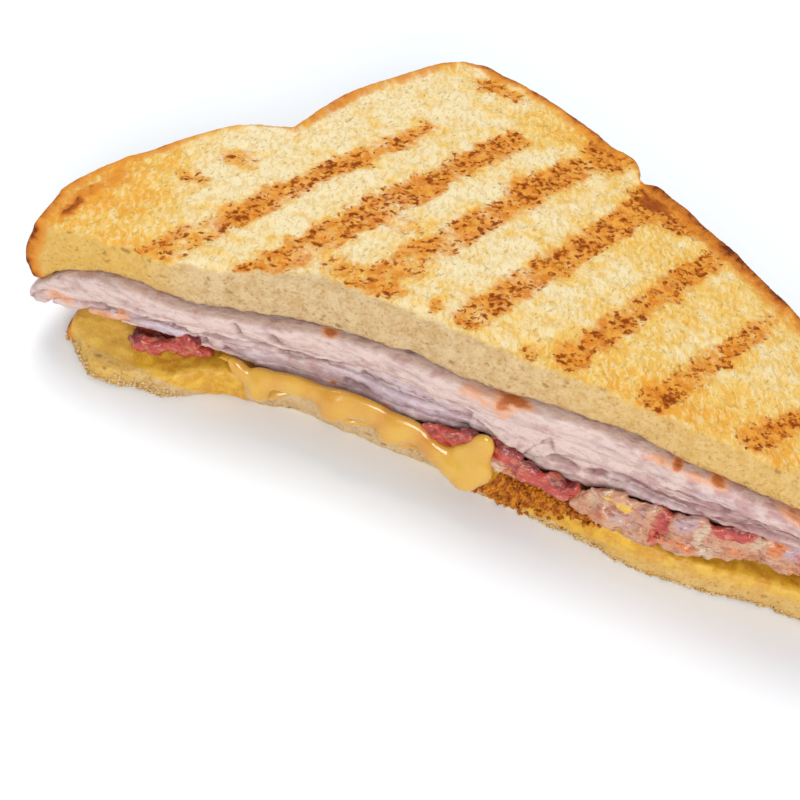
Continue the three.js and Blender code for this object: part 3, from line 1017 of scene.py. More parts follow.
@dataclass(frozen=True)
class BitFinish:
    """Loose bits of crumb: one colour family, with darker grains."""

    name: str
    light: Colour
    dark: Colour
    roughness: float = 0.8
    specular: float = 0.2
    bump_depth: float = 0.08 * MM

    def material(self, effects: Effects) -> bpy.types.Material:
        """Makes the finish.

        Args:
            effects: The shared effects.

        Returns:
            The material.
        """
        material, draw, shader = new_material(self.name)
        place = draw.millimetres()
        grain = draw.group(effects.grain, Place=place)
        share = draw.step(draw.noise(place, 1.1, 3.0, 0.6), 0.36, 0.62)
        draw.feed(shader.inputs["Base Color"], draw.blend(self.light, self.dark, share))
        shader.inputs["Roughness"].default_value = self.roughness
        shader.inputs["Specular IOR Level"].default_value = self.specular
        draw.feed(shader.inputs["Normal"], draw.bump(grain.outputs["Height"], self.bump_depth))
        return material


@dataclass(frozen=True)
class GrillMark:
    """One brown stripe that a rib of the grill left, seen from above, in millimetres."""

    start: tuple[float, float]
    end: tuple[float, float]
    half_width: float = 2.6
    end_half_width: float = 2.2
    strength: float = 1.0

    def heat(self, x: np.ndarray, y: np.ndarray, softness: float) -> np.ndarray:
        """How strongly each place is marked.

        Args:
            x: Places along the cut, in millimetres.
            y: Places across it, in millimetres.
            softness: How wide the stripe's soft edge is, in millimetres.

        Returns:
            A number from 0 to 1 for each place.
        """
        (x0, y0), (x1, y1) = self.start, self.end
        length = math.hypot(x1 - x0, y1 - y0)
        ux, uy = (x1 - x0) / length, (y1 - y0) / length
        run = (x - x0) * ux + (y - y0) * uy
        aside = np.abs((y - y0) * ux - (x - x0) * uy)
        half_width = np.interp(run, (0, length), (self.half_width, self.end_half_width))
        ends = smooth(run, -softness, softness) * smooth(run, length + softness, length - softness)
        return self.strength * ends * smooth(aside - half_width, softness, -softness)


@dataclass(frozen=True)
class Push:
    """A small dent or bulge of the crust, seen from above, in millimetres."""

    x: float
    y: float
    reach: float
    shift: tuple[float, float]

    def move(self, places: np.ndarray) -> np.ndarray:
        """Moves the places near it.

        Args:
            places: The places.

        Returns:
            The moved places.
        """
        distance = np.hypot(places[:, 0] / MM - self.x, places[:, 1] / MM - self.y)
        share = np.exp(-((distance / self.reach) ** 2))
        moved = places.copy()
        moved[:, 0] += share * self.shift[0] * MM
        moved[:, 1] += share * self.shift[1] * MM
        return moved


class Layer:
    """A layer of the sandwich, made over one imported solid."""

    node: str
    slot: str
    piece: bpy.types.Object

    def dress(self, material: bpy.types.Material) -> None:
        """Gives the layer its finish and ties it to the frame."""
        finish_piece(self.piece, material, self.slot, self.node)


@dataclass
class BreadSlice(Layer):
    """A slice of bread, made as a fine skin over its solid.

    The toast edge is where the toast ends on the grilled face, the soak edge where grease soaked the crumb.
    """

    node: str
    slot: str
    grilled: Side
    marks: tuple[GrillMark, ...]
    scorches: tuple[Patch, ...]
    toast_edge: Line | None = None
    soak_edge: Line | None = None
    crisp: tuple[Patch, ...] = ()
    golden: tuple[Patch, ...] = ()
    pushes: tuple[Push, ...] = ()
    crusted: tuple[Patch, ...] = ()
    seed: int = 1
    voxel: float = 0.45 * MM
    mark_softness: float = 1.3
    glow_softness: float = 3.2
    rim_reach: float = 7.0 * MM
    edge_swell: float = 1.1 * MM
    crumb_relief: float = 0.24 * MM
    grain_relief: float = 0.108 * MM
    crust_relief: float = 0.1 * MM
    cut_relief: float = 0.3 * MM
    pore_depth: float = 0.5 * MM
    hole_depth: float = 0.6 * MM
    mark_depth: float = 0.22 * MM
    piece: bpy.types.Object = field(init=False, default=None)
    places: np.ndarray = field(init=False, default=None)
    normals: np.ndarray = field(init=False, default=None)

    def build(self) -> bpy.types.Object:
        """Makes the slice.

        Returns:
            The slice's object.
        """
        self.piece = fine_skin(self.node, self.node + "_crumb", self.voxel)
        self.places = read_places(self.piece.data)
        self.normals = read_normals(self.piece.data)
        out = self.normals[:, 2] * self.grilled.value
        grilled = smooth(out, 0.3, 0.75)
        inside = smooth(out, -0.5, -0.85)
        front = smooth(-self.normals[:, 1], 0.35, 0.75) * smooth(np.abs(self.normals[:, 0]), 0.85, 0.5)
        rim = self._near_crust()
        heat = self._heat(self.mark_softness) * np.maximum(grilled, 0.5 * front * (1 - inside))
        bare = np.maximum(self._bare() * (1 - inside) * smooth(self.places[:, 1] / MM, 0, -20), inside)
        self._raise_crumb(grilled, np.maximum(front, inside), heat, rim)
        self._paint(bare, heat * (1 - bare), rim)
        return self.piece

    def _near_crust(self) -> np.ndarray:
        """How close each place is to the crust.

        Returns:
            1 on the crust, 0 from where its colour ends.
        """
        outward = (np.abs(self.normals[:, 2]) < 0.5) & (self.normals[:, 1] > -0.45)
        skin = self.places[outward][::3]
        tree = kdtree.KDTree(len(skin))
        for i, place in enumerate(skin.tolist()):
            tree.insert(place, i)
        tree.balance()
        distance = np.array([tree.find(place)[2] for place in self.places.tolist()])
        reach = self.rim_reach * np.interp(self.places[:, 0] / MM, RIM_STATIONS, RIM_REACHES)
        wavy_x, wavy_y = self._wavy(self.places, 1.1, 1.7 * MM, self.seed + 17)
        return np.maximum(1 - np.clip(distance / reach, 0, 1), patched(self.crusted, wavy_x, wavy_y))

    @staticmethod
    def _wavy(
        places: np.ndarray, reach: float, wavelength: float, seed: int, octaves: int = 2
    ) -> tuple[np.ndarray, np.ndarray]:
        """Shifts places a little, so that what is read there gets a ragged edge.

        Args:
            places: The places.
            reach: How far they move, in millimetres.
            wavelength: The rough distance between two bends.
            seed: Picks the noise.
            octaves: How many finer layers it has.

        Returns:
            The shifted x and y, in millimetres.
        """
        x = places[:, 0] / MM + reach * wander(places, wavelength, seed, octaves)
        y = places[:, 1] / MM + reach * wander(places, wavelength, seed + 1, octaves)
        return x, y

    def _bare(self) -> np.ndarray:
        """Where the outer face is bare crumb, with a ragged line to the toast.

        Returns:
            1 where it is bare, 0 where it is toasted.
        """
        if self.toast_edge is None:
            return smooth(self.normals[:, 2], -0.9, -0.5)
        ragged = 0.9 * wander(self.places, 3.2 * MM, self.seed + 11, 3)
        ragged += 0.5 * wander(self.places, 0.9 * MM, self.seed + 12)
        above = seen_height(self.places) - self.toast_edge.at(self.places[:, 0] / MM) + ragged
        return smooth(above, 0.6, -0.9)

    def _heat(self, softness: float) -> np.ndarray:
        """How strongly the grill browned each place, from its marks and scorches.

        Args:
            softness: How wide the soft edge of a mark is, in millimetres.

        Returns:
            A number for each place, above 1 where it is burnt.
        """
        flat = self.places * (1, 1, 0)
        x, y = self._wavy(flat, 1.0, 3.0 * MM, self.seed, 3)
        patchy = 0.84 + 0.5 * wander(flat, 6 * MM, self.seed + 2, 2)
        heat = np.zeros(len(flat))
        for mark in self.marks:
            heat = np.maximum(heat, mark.heat(x, y, softness) * patchy)
        return np.maximum(heat, patched(self.scorches, x, y))

    def _raise_crumb(self, grilled: np.ndarray, bare: np.ndarray, heat: np.ndarray, rim: np.ndarray) -> None:
        """Moves the skin in and out by its crumb, pores and marks.

        Args:
            grilled: 1 on the grilled face.
            bare: 1 where the crumb is bare.
            heat: How browned each place is.
            rim: How close each place is to the crust.
        """
        loose = 1 - 0.8 * smooth(rim, 0.4, 1.0)
        rise = self.crumb_relief * wander(self.places, 2.6 * MM, self.seed + 3, 3) * loose
        rise += self.grain_relief * wander(self.places, 1.1 * MM, self.seed + 4) * loose
        small_pits = pits(self.places, 1.5 * MM, self.seed, 0.5)
        large_pits = pits(self.places, 3.4 * MM, self.seed + 5, 0.22, 0.34)
        rise -= self.pore_depth * small_pits * loose * (0.3 * grilled + 0.7 * bare)
        rise -= self.hole_depth * large_pits * loose * bare
        rise -= self.mark_depth * heat
        rise += self.cut_relief * bare * wander(self.places, 8 * MM, self.seed + 9, 2)
        rise += self.crust_relief * wander(self.places, 4 * MM, self.seed + 10, 2) * smooth(rim, 0.6, 1.0)
        out = self.normals[:, 2] * self.grilled.value
        edge = smooth(out, 0.1, 0.5) * smooth(out, 0.99, 0.85) * smooth(self.normals[:, 1], -0.3, 0.1)
        rise += self.edge_swell * edge * np.interp(self.places[:, 0] / MM, SWELL_STATIONS, SWELL_LEVELS)
        self.places = self.places + self.normals * rise[:, None]
        for push in self.pushes:
            self.places = push.move(self.places)
        self.places[:, 2] = np.maximum(self.places[:, 2], FLOOR_GAP)
        write_places(self.piece.data, self.places)

    def _paint(self, bare: np.ndarray, heat: np.ndarray, rim: np.ndarray) -> None:
        """Paints the numbers that the finish reads.

        Args:
            bare: 1 where the crumb is bare.
            heat: How browned each place is.
            rim: How close each place is to the crust.
        """
        mesh = self.piece.data
        x, y = self.places[:, 0] / MM, self.places[:, 1] / MM
        seen = seen_height(self.places)
        toast = 0.08 + 0.1 * smooth(y, -10, 15) + 0.3 * smooth(x, -15, 30)
        toast = toast + 0.3 * smooth(x, -50, -60) + 0.16 * smooth(y, -22, -31)
        wavy_x, wavy_y = self._wavy(self.places * (1, 1, 0), 1.6, 4 * MM, self.seed + 15)
        toast = toast + patched(self.golden, wavy_x, wavy_y) + 0.25 * smooth(rim, 0.0, 0.6)
        toast = toast + 0.36 * np.clip(self._heat(self.glow_softness), 0, 1)
        paint(mesh, "browning", heat / MOST_HEAT)
        paint(mesh, "toast", toast)
        paint(mesh, "rim", rim)
        paint(mesh, "baked", np.interp(x, RIM_STATIONS, BAKED_LEVELS))
        paint(mesh, "cut", bare)
        paint(mesh, "warm", 0.9 * smooth(x, -44, -58) + 0.3 * smooth(x, 5, 40) + 0.3 * smooth(x, -5, 20))
        paint(mesh, "soak", self._soaked(x, y, seen) * (1 - smooth(rim, 0.5, 0.9)))
        paint(mesh, "crisp", patched(self.crisp, x, seen))

    def _soaked(self, x: np.ndarray, y: np.ndarray, seen: np.ndarray) -> np.ndarray:
        """Where grease soaked the front of the slice. Its edge is sharp at the left and soft at the right.

        Args:
            x: The places along the cut, in millimetres.
            y: The places across it, in millimetres.
            seen: Their heights as seen on the cut, in millimetres.

        Returns:
            How soaked each place is, from 0 to 1.
        """
        if self.soak_edge is None:
            return np.zeros(len(x))
        over = seen - self.soak_edge.at(x) + 0.5 * wander(self.places, 2.2 * MM, self.seed + 13, 2)
        fade = smooth(x, 18, 34)
        soaked = (1 - fade) * smooth(over, -0.4, 0.5) + fade * smooth(over, -2.6, 2.4)
        return soaked * smooth(y, -20, -28)


@dataclass
class Bits:
    """Loose bits of one kind, sown over a place on a bread slice and joined into one piece."""

    name: str
    slot: str
    count: int
    smallest: float
    largest: float
    seed: int
    shapes: int = 3
    lift: float = 0.1
    stretch: tuple[float, float] = (0.6, 1.2)
    roughness: float = 0.9
    piece: bpy.types.Object = field(init=False, default=None)

    def build(self, bread: BreadSlice, share: np.ndarray) -> bpy.types.Object:
        """Makes the bits.

        Args:
            bread: The slice that they lie on.
            share: How likely a bit is at each of the slice's vertices.

        Returns:
            The joined piece.
        """
        rng = np.random.default_rng(self.seed)
        moulds = [self._mould(number) for number in range(self.shapes)]
        chosen = rng.choice(len(share), self.count, replace=False, p=share / share.sum())
        copies = []
        for vertex in chosen:
            mould = moulds[rng.integers(self.shapes)]
            bit = bpy.data.objects.new(self.name, mould.data.copy())
            size = rng.uniform(self.smallest, self.largest)
            bit.location = bread.places[vertex] + bread.normals[vertex] * size * self.lift
            bit.rotation_euler = rng.uniform(0, 2 * math.pi, 3)
            bit.scale = size * rng.uniform(*self.stretch, 3)
            bpy.context.scene.collection.objects.link(bit)
            copies.append(bit)
        for mould in moulds:
            bpy.data.objects.remove(mould)
        bpy.ops.object.select_all(action="DESELECT")
        for bit in copies:
            bit.select_set(True)
        bpy.context.view_layer.objects.active = copies[0]
        bpy.ops.object.join()
        bpy.ops.object.transform_apply(location=True, rotation=True, scale=True)
        self.piece = bpy.context.object
        places = read_places(self.piece.data)
        places[:, 2] = np.maximum(places[:, 2], 0.0)
        write_places(self.piece.data, places)
        return self.piece

    def _mould(self, number: int) -> bpy.types.Object:
        """Makes one rough bit, about 1 across, to copy.

        Args:
            number: Which of the shapes.

        Returns:
            Its object.
        """
        bpy.ops.object.select_all(action="DESELECT")
        bpy.ops.mesh.primitive_ico_sphere_add(subdivisions=2, radius=0.5)
        mould = bpy.context.object
        mould.name = f"{self.name}_mould_{number + 1}"
        places = read_places(mould.data)
        bulge = 1 + self.roughness * wander(places, 0.4, self.seed + number, 2)
        write_places(mould.data, places * bulge[:, None])
        return mould

    def dress(self, material: bpy.types.Material) -> None:
        """Gives the bits their finish and ties them to the frame."""
        finish_piece(self.piece, material, self.slot)


class FrontEdge:
    """The front edge of a packed layer, along the cut."""

    def __init__(self, node: str) -> None:
        """Measures the layer.

        Args:
            node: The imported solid's name.
        """
        places = read_places(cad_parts[node].data)
        stations = np.round(places[:, 0] / STATION_WIDTH).astype(int)
        groups = [places[stations == key] for key in np.unique(stations)]
        self.x = np.array([group[:, 0].mean() for group in groups])
        self.y = np.array([group[:, 1].min() for group in groups])

    def behind(self, places: np.ndarray) -> np.ndarray:
        """How far behind the edge each place is."""
        return places[:, 1] - np.interp(places[:, 0], self.x, self.y)


@dataclass
class TurkeyPile:
    """The pile of turkey. Its slices press together along the cut and show creases and roasted rims.

    The crease's width, the deepest trim, the half span and its pace are in millimetres.
    """

    creases: tuple[Line, ...]
    ledges: tuple[Line, ...]
    roasts: tuple[Patch, ...]
    lilacs: tuple[Patch, ...]
    foot: Line
    nodes: tuple[str, ...] = ("turkey_slice_1", "turkey_slice_2", "turkey_slice_3", "turkey_slice_4")
    voxel: float = 0.43 * MM
    press: float = 0.2 * MM
    ledge_depth: float = 0.75 * MM
    crease_depth: float = 0.8 * MM
    crease_width: float = 0.42
    strand_depth: float = 0.14 * MM
    sway: float = 0.4 * MM
    soft_relief: float = 0.12 * MM
    fine_relief: float = 0.16 * MM
    reach: float = 4 * MM
    deepest_gap: float = 3 * MM
    deepest_trim: float = 4.0
    tip: float = -72.6 * MM
    half_span: float = 76.0
    pace: float = 0.5
    blur: int = 9
    first_seed: int = 40
    seed_step: int = 9
    pieces: list[bpy.types.Object] = field(init=False, default_factory=list)
    front_x: np.ndarray = field(init=False, default=None)
    front_y: np.ndarray = field(init=False, default=None)

    def build(self) -> list[bpy.types.Object]:
        """Makes every slice.

        Returns:
            One object a slice, from the top down.
        """
        self.front_x = np.arange(-self.half_span, self.half_span, self.pace) * MM
        edges = [FrontEdge(node) for node in self.nodes]
        ahead = [np.interp(self.front_x, edge.x, edge.y, 0.0, 0.0) for edge in edges]
        padded = np.pad(np.min(ahead, axis=0), self.blur // 2, mode="edge")
        self.front_y = np.convolve(padded, np.ones(self.blur) / self.blur, mode="valid")
        for index, node in enumerate(self.nodes):
            self.pieces.append(self._slice(node, self.first_seed + self.seed_step * index))
        return self.pieces

    def _slice(self, node: str, seed: int) -> bpy.types.Object:
        """Makes one slice.

        Args:
            node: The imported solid's name.
            seed: Picks its noise.

        Returns:
            The slice's object.
        """
        piece = fine_skin(node, node + "_meat", self.voxel)
        places = read_places(piece.data)
        normals = read_normals(piece.data)
        behind = FrontEdge(node).behind(places)
        near = np.exp(-np.clip(behind, 0, None) / self.reach)
        face = smooth(-normals[:, 1], 0.1, 0.5) * smooth(behind, 2.5 * MM, 0.8 * MM)
        forward = self._forward(places, behind)
        x = places[:, 0] / MM
        seen = seen_height(places)
        crease, step, shade_under_lip = self._relief(places)
        strands = self._strands(places, seed)

        shift = self.ledge_depth * step * near
        shift += face * (self.crease_depth * crease + self.strand_depth * strands)
        shift += self.sway * near * wander(places * (1, 0.2, 0.6), 6 * MM, seed, 2)
        shift -= forward
        rise = self.press * (1 + 1.2 * near) + self.soft_relief * wander(places, 3 * MM, seed + 1, 2)
        rise += self.fine_relief * wander(places, 1.2 * MM, seed + 2) * (face + 0.3)
        places = places + normals * rise[:, None]
        places[:, 1] += shift
        self._trim(places, behind, x)
        write_places(piece.data, places)

        side = smooth(np.abs(normals[:, 2]), 0.7, 0.3) * (1 - smooth(-normals[:, 1], 0.1, 0.5))
        brown_rim = side * np.clip(0.25 + wander(places, 6 * MM, seed + 4, 2), 0, 0.8)
        spots = patched(self.roasts, x, seen) * smooth(behind, 4 * MM, 1 * MM)
        pale = 0.95 - 0.55 * smooth(x, 18, 42) - 0.25 * np.clip(step, 0, 1.2)
        # The crease mask is painted shade: creases, the shadow just under a lip, and the lines where leaves
        # meet.
        paint(piece.data, "crease", crease * face + 0.7 * shade_under_lip * face + 0.45 * strands * face)
        paint(piece.data, "pale", pale + 0.6 * wander(places, 3 * MM, seed + 3, 3))
        paint(piece.data, "lilac", patched(self.lilacs, x, seen) * face)
        paint(piece.data, "roast", np.maximum(spots, brown_rim))
        return piece

    def _forward(self, places: np.ndarray, behind: np.ndarray) -> np.ndarray:
        """How far the slice comes forward to lie level with the rest of the pile.

        Args:
            places: The slice's vertices.
            behind: How far behind its own front edge each of them is.

        Returns:
            The distances.
        """
        level = np.interp(places[:, 0], self.front_x, self.front_y)
        gap = np.clip(places[:, 1] - behind - level, 0, self.deepest_gap)
        forward = 0.85 * gap * smooth(behind, 8 * MM, 2 * MM)
        return forward + 0.75 * np.clip(behind, 0, None) * smooth(behind, 1.7 * MM, 0.9 * MM)

    def _relief(self, places: np.ndarray) -> tuple[np.ndarray, np.ndarray, np.ndarray]:
        """Reads the creases and ledges of the cut with a little waviness.

        Args:
            places: The slice's vertices.

        Returns:
            How deep in a crease each place is, how many ledges are above it, and how much painted shade it
            gets just under a lip.
        """
        wavy_x = places[:, 0] / MM + 0.5 * wander(places, 2.5 * MM, 5, 2)
        wavy_seen = seen_height(places) + 0.28 * wander(places, 2.0 * MM, 6, 2)
        wavy_seen = wavy_seen + 0.2 * wander(places, 0.8 * MM, 7)
        crease = np.zeros(len(places))
        for line in self.creases:
            crease = np.maximum(crease, hill(line.distance(wavy_x, wavy_seen), 0, self.crease_width))
        step = np.zeros(len(places))
        shade_under_lip = np.zeros(len(places))
        for line in self.ledges:
            over = wavy_seen - line.at(wavy_x)
            step += smooth(over, 0.25, -0.35)
            # A band just under each ledge gets painted shadow, as if cast by the lip above.
            shade_under_lip = np.maximum(shade_under_lip, smooth(over, 0.15, -0.15) * smooth(over, -1.1, -0.25))
        return crease, step, shade_under_lip

    def _trim(self, places: np.ndarray, behind: np.ndarray, x: np.ndarray) -> None:
        """Draws in the left tip and all that hangs below the foot of the pile.

        Args:
            places: The slice's vertices, which are moved.
            behind: How far behind the slice's front edge each of them was.
            x: Where each was along the cut, in millimetres.
        """
        beyond = np.clip(self.tip - places[:, 0], 0, None)
        places[:, 0] += 0.5 * beyond
        places[:, 1] += 0.5 * beyond * smooth(behind, 6 * MM, 0)
        ragged = 0.5 * wander(places, 1.8 * MM, 8, 2) + 0.25 * wander(places, 0.7 * MM, 9)
        below = np.clip(self.foot.at(x) + ragged - seen_height(places), 0, self.deepest_trim)
        places[:, 1] += 0.9 * below / VIEW_SLOPE * MM * smooth(behind, 7 * MM, 2 * MM)

    @staticmethod
    def _strands(places: np.ndarray, seed: int) -> np.ndarray:
        """Thin wavy lines along the cut, where thin leaves of a slice meet.

        Args:
            places: The slice's vertices.
            seed: Picks the noise.

        Returns:
            1 in a line and 0 between lines.
        """
        waves = wander(places * (0.09, 0.09, 1.0), 1.5 * MM, seed + 5, 2)
        fade = smooth(wander(places, 9 * MM, seed + 6), -0.35, 0.3)
        return smooth(np.abs(waves), 0.14, 0.0) * fade

    def dress(self, material: bpy.types.Material) -> None:
        """Gives the slices their finish and ties them to the frame."""
        for piece, node in zip(self.pieces, self.nodes):
            finish_piece(piece, material, "turkey", node)


@dataclass
class CheddarSheet(Layer):
    """The melted cheddar, with soft lobes and drips over the front of the bottom slice."""

    lumps: tuple[Lump, ...]
    node: str = "cheddar"
    slot: str = "melted_cheddar"
    voxel: float = 0.42 * MM
    smoothing: int = 26
    last_smoothing: int = 4
    swell: float = 0.2 * MM
    front_swell: float = 0.2 * MM
    ripple: float = 0.05 * MM
    sag: float = 0.74
    end_pull: float = 3.0 * MM
    right_tuck: float = 2.6 * MM
    left_tuck: float = 3.2 * MM
    piece: bpy.types.Object = field(init=False, default=None)

    def build(self) -> bpy.types.Object:
        """Makes the sheet.

        Returns:
            Its object.
        """
        self.piece = fine_skin(self.node, "cheddar_melt", self.voxel, self.smoothing, self.lumps)
        places = read_places(self.piece.data)
        normals = read_normals(self.piece.data)
        runs = places * (1.0, 1.0, 0.4)
        flow = wander(runs, 5.0 * MM, 3, 2)
        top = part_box(self.node)[1].z
        hanging = smooth(places[:, 2], top - 1.2 * MM, top - 3.2 * MM)
        rise = self.swell * (0.5 + flow) * hanging + self.ripple * wander(runs, 2.2 * MM, 4)
        rise += self.front_swell * smooth(-normals[:, 1], 0.1, 0.7)
        places = places + normals * rise[:, None]
        hang = top - 0.8 * MM
        places[:, 2] += (1 - self.sag) * np.clip(hang - places[:, 2], 0, None)
        places[:, 0] += self.end_pull * smooth(places[:, 0] / MM, -30, -45)
        x, y, z = (places[:, axis] / MM for axis in range(3))
        back = self.right_tuck * smooth(x, 6.8, 8.6)
        back += self.left_tuck * smooth(x, -34.5, -41.5) * smooth(z, 9.4, 8.6)
        places[:, 1] += back * smooth(y, -30, -34)
        write_places(self.piece.data, places)
        apply_modifier(self.piece, "SMOOTH", factor=SMOOTH_FACTOR, iterations=self.last_smoothing)
        # Painted shade: deeper where the flow noise swells the sheet less, in the hollows between lobes.
        paint(self.piece.data, "hollow_shade", 0.25 - 0.8 * flow)
        return self.piece


class Tint(Enum):
    """The colours that a rasher is made of."""

    LEAN = "lean"
    DARK = "dark"
    AMBER = "amber"
    CREAM = "cream"
    LILAC = "lilac"
    GOLD = "gold"


@dataclass
class BaconRasher(Layer):
    """A rasher of bacon with its patches of lean meat and fat."""

    node: str
    seed: int
    tints: dict[Tint, tuple[Patch, ...]]
    lumps: tuple[Lump, ...] = ()
    set_back: Line = Line(((-75, 0.0), (75, 0.0)))
    slide: float = 0.0
    slot: str = "bacon"
    voxel: float = 0.4 * MM
    smoothing: int = 3
    crinkle: float = 0.5 * MM
    grit: float = 0.5 * MM
    sway: float = 0.8 * MM
    piece: bpy.types.Object = field(init=False, default=None)

    def build(self) -> bpy.types.Object:
        """Makes the rasher.

        Returns:
            Its object.
        """
        self.piece = fine_skin(self.node, self.node + "_fried", self.voxel, self.smoothing, self.lumps)
        places = read_places(self.piece.data)
        normals = read_normals(self.piece.data)
        places[:, 0] += self.slide
        places[:, 1] += self.set_back.at(places[:, 0] / MM) * MM * smooth(places[:, 1] / MM, -26, -33)
        x = places[:, 0] / MM + 0.7 * wander(places, 3 * MM, self.seed + 3, 2)
        seen = seen_height(places) + 0.6 * wander(places, 2.4 * MM, self.seed + 4, 2)
        for tint in Tint:
            paint(self.piece.data, tint.value, self._amount(tint, x, seen, places))
        ridges = wander(places * (1.0, 0.35, 0.8), 2.4 * MM, self.seed, 2)
        rise = self.crinkle * ridges + self.grit * wander(places, 1.3 * MM, self.seed + 1, 3)
        places = places + normals * rise[:, None]
        places[:, 0] += self.sway * wander(places * (0.5, 1.0, 1.6), 4 * MM, self.seed + 2, 2)
        write_places(self.piece.data, places)
        return self.piece

    def _amount(self, tint: Tint, x: np.ndarray, seen: np.ndarray, places: np.ndarray) -> np.ndarray:
        """How much of one tint there is at each place.

        Args:
            tint: The tint.
            x: The places along the cut, in millimetres.
            seen: Their heights as seen on the cut, in millimetres.
            places: The places.

        Returns:
            A number from 0 to 1 for each place.
        """
        shown = patched(self.tints.get(tint, ()), x, seen)
        if tint is not Tint.LEAN:
            return shown
        hidden = smooth(places[:, 1] / MM, -31, -27)
        stripes = smooth(wander(places * (1.0, 0.12, 1.0), 4 * MM, self.seed + 6), -0.1, 0.2)
        return np.maximum(shown, hidden * stripes)


@dataclass(frozen=True)
class SoftBox:
    """A square lamp that faces the sandwich, with its power in watts."""

    name: str
    at: tuple[float, float, float]
    side: float
    power: float

    def build(self) -> None:
        """Adds the lamp."""
        data = bpy.data.lights.new(self.name, "AREA")
        data.size = self.side
        data.energy = self.power
        lamp = bpy.data.objects.new(self.name, data)
        lamp.location = self.at
        lamp.rotation_euler = Vector(self.at).to_track_quat("Z", "Y").to_euler()
        bpy.context.scene.collection.objects.link(lamp)


@dataclass(frozen=True)
class Studio:
    """The pale floor, the soft lights and the camera, whose place is in millimetres and degrees."""

    lens: float = 58.2
    sensor: float = 36.0
    clip_start: float = 0.01
    camera_at: tuple[float, float, float] = (0.30, -169.0, 164.6)
    heading: float = -4.77
    dip: float = 47.77
    roll: float = 17.04
    floor_side: float = 8.0
    floor_grey: Colour = (0.875, 0.885, 0.895, 1.0)
    floor_light: Colour = (0.895, 0.905, 0.915, 1.0)
    floor_cloud: float = 300.0
    floor_roughness: float = 0.9
    sky: Colour = (0.88, 0.945, 1.0, 1.0)
    sky_strength: float = 0.6
    key: SoftBox = SoftBox("key", (-0.28, 0.24, 0.60), 0.32, 2.45)
    fill: SoftBox = SoftBox("fill", (0.18, -0.66, 0.40), 0.36, 3.9)

    def build(self) -> None:
        """Makes everything round the sandwich."""
        self._camera()
        self._floor()
        self._lights()
        view = bpy.context.scene.view_settings
        view.view_transform = "Standard"
        view.look = "None"

    def _camera(self) -> None:
        """Places the camera where the photograph was taken from."""
        data = bpy.data.cameras.new("camera")
        data.lens = self.lens
        data.sensor_width = self.sensor
        data.clip_start = self.clip_start
        camera = bpy.data.objects.new("camera", data)
        turn = Matrix.Rotation(math.radians(-self.heading), 4, "Z")
        tilt = Matrix.Rotation(math.radians(90 - self.dip), 4, "X")
        lean = Matrix.Rotation(math.radians(self.roll), 4, "Z")
        camera.matrix_world = Matrix.Translation(Vector(self.camera_at) * MM) @ turn @ tilt @ lean
        bpy.context.scene.collection.objects.link(camera)
        bpy.context.scene.camera = camera

    def _floor(self) -> None:
        """Makes the pale floor."""
        bpy.ops.object.select_all(action="DESELECT")
        bpy.ops.mesh.primitive_plane_add(size=self.floor_side)
        floor = bpy.context.object
        floor.name = "floor"
        material, draw, shader = new_material("pale floor")
        cloud = draw.noise(draw.millimetres(), self.floor_cloud, 2.0)
        draw.feed(shader.inputs["Base Color"], draw.blend(self.floor_grey, self.floor_light, cloud))
        shader.inputs["Roughness"].default_value = self.floor_roughness
        floor.data.materials.append(material)

    def _lights(self) -> None:
        """Lights the sandwich softly from above, with a fill from the front."""
        world = bpy.data.worlds.new("studio")
        world.use_nodes = True
        background = world.node_tree.nodes["Background"]
        background.inputs["Color"].default_value = self.sky
        background.inputs["Strength"].default_value = self.sky_strength
        bpy.context.scene.world = world
        self.key.build()
        self.fill.build()


# Along the cut, in millimetres: how far the crust's colour reaches, and how dark it is.
RIM_STATIONS = (-74, -64, -58, -48, -44, -24, -16, 4, 9, 13, 16, 45)
RIM_REACHES = (0.5, 0.46, 0.3, 0.3, 0.4, 0.36, 0.4, 0.42, 0.26, 0.24, 0.62, 0.64)
BAKED_LEVELS = (0.85, 0.75, 0.3, 0.3, 0.76, 0.78, 0.82, 0.86, 0.5, 0.5, 0.92, 1.0)

# Along the cut, in millimetres: how much the rounded edge of the crust swells.
SWELL_STATIONS = (-70, -50, -40)
SWELL_LEVELS = (0.4, 0.4, 1.0)

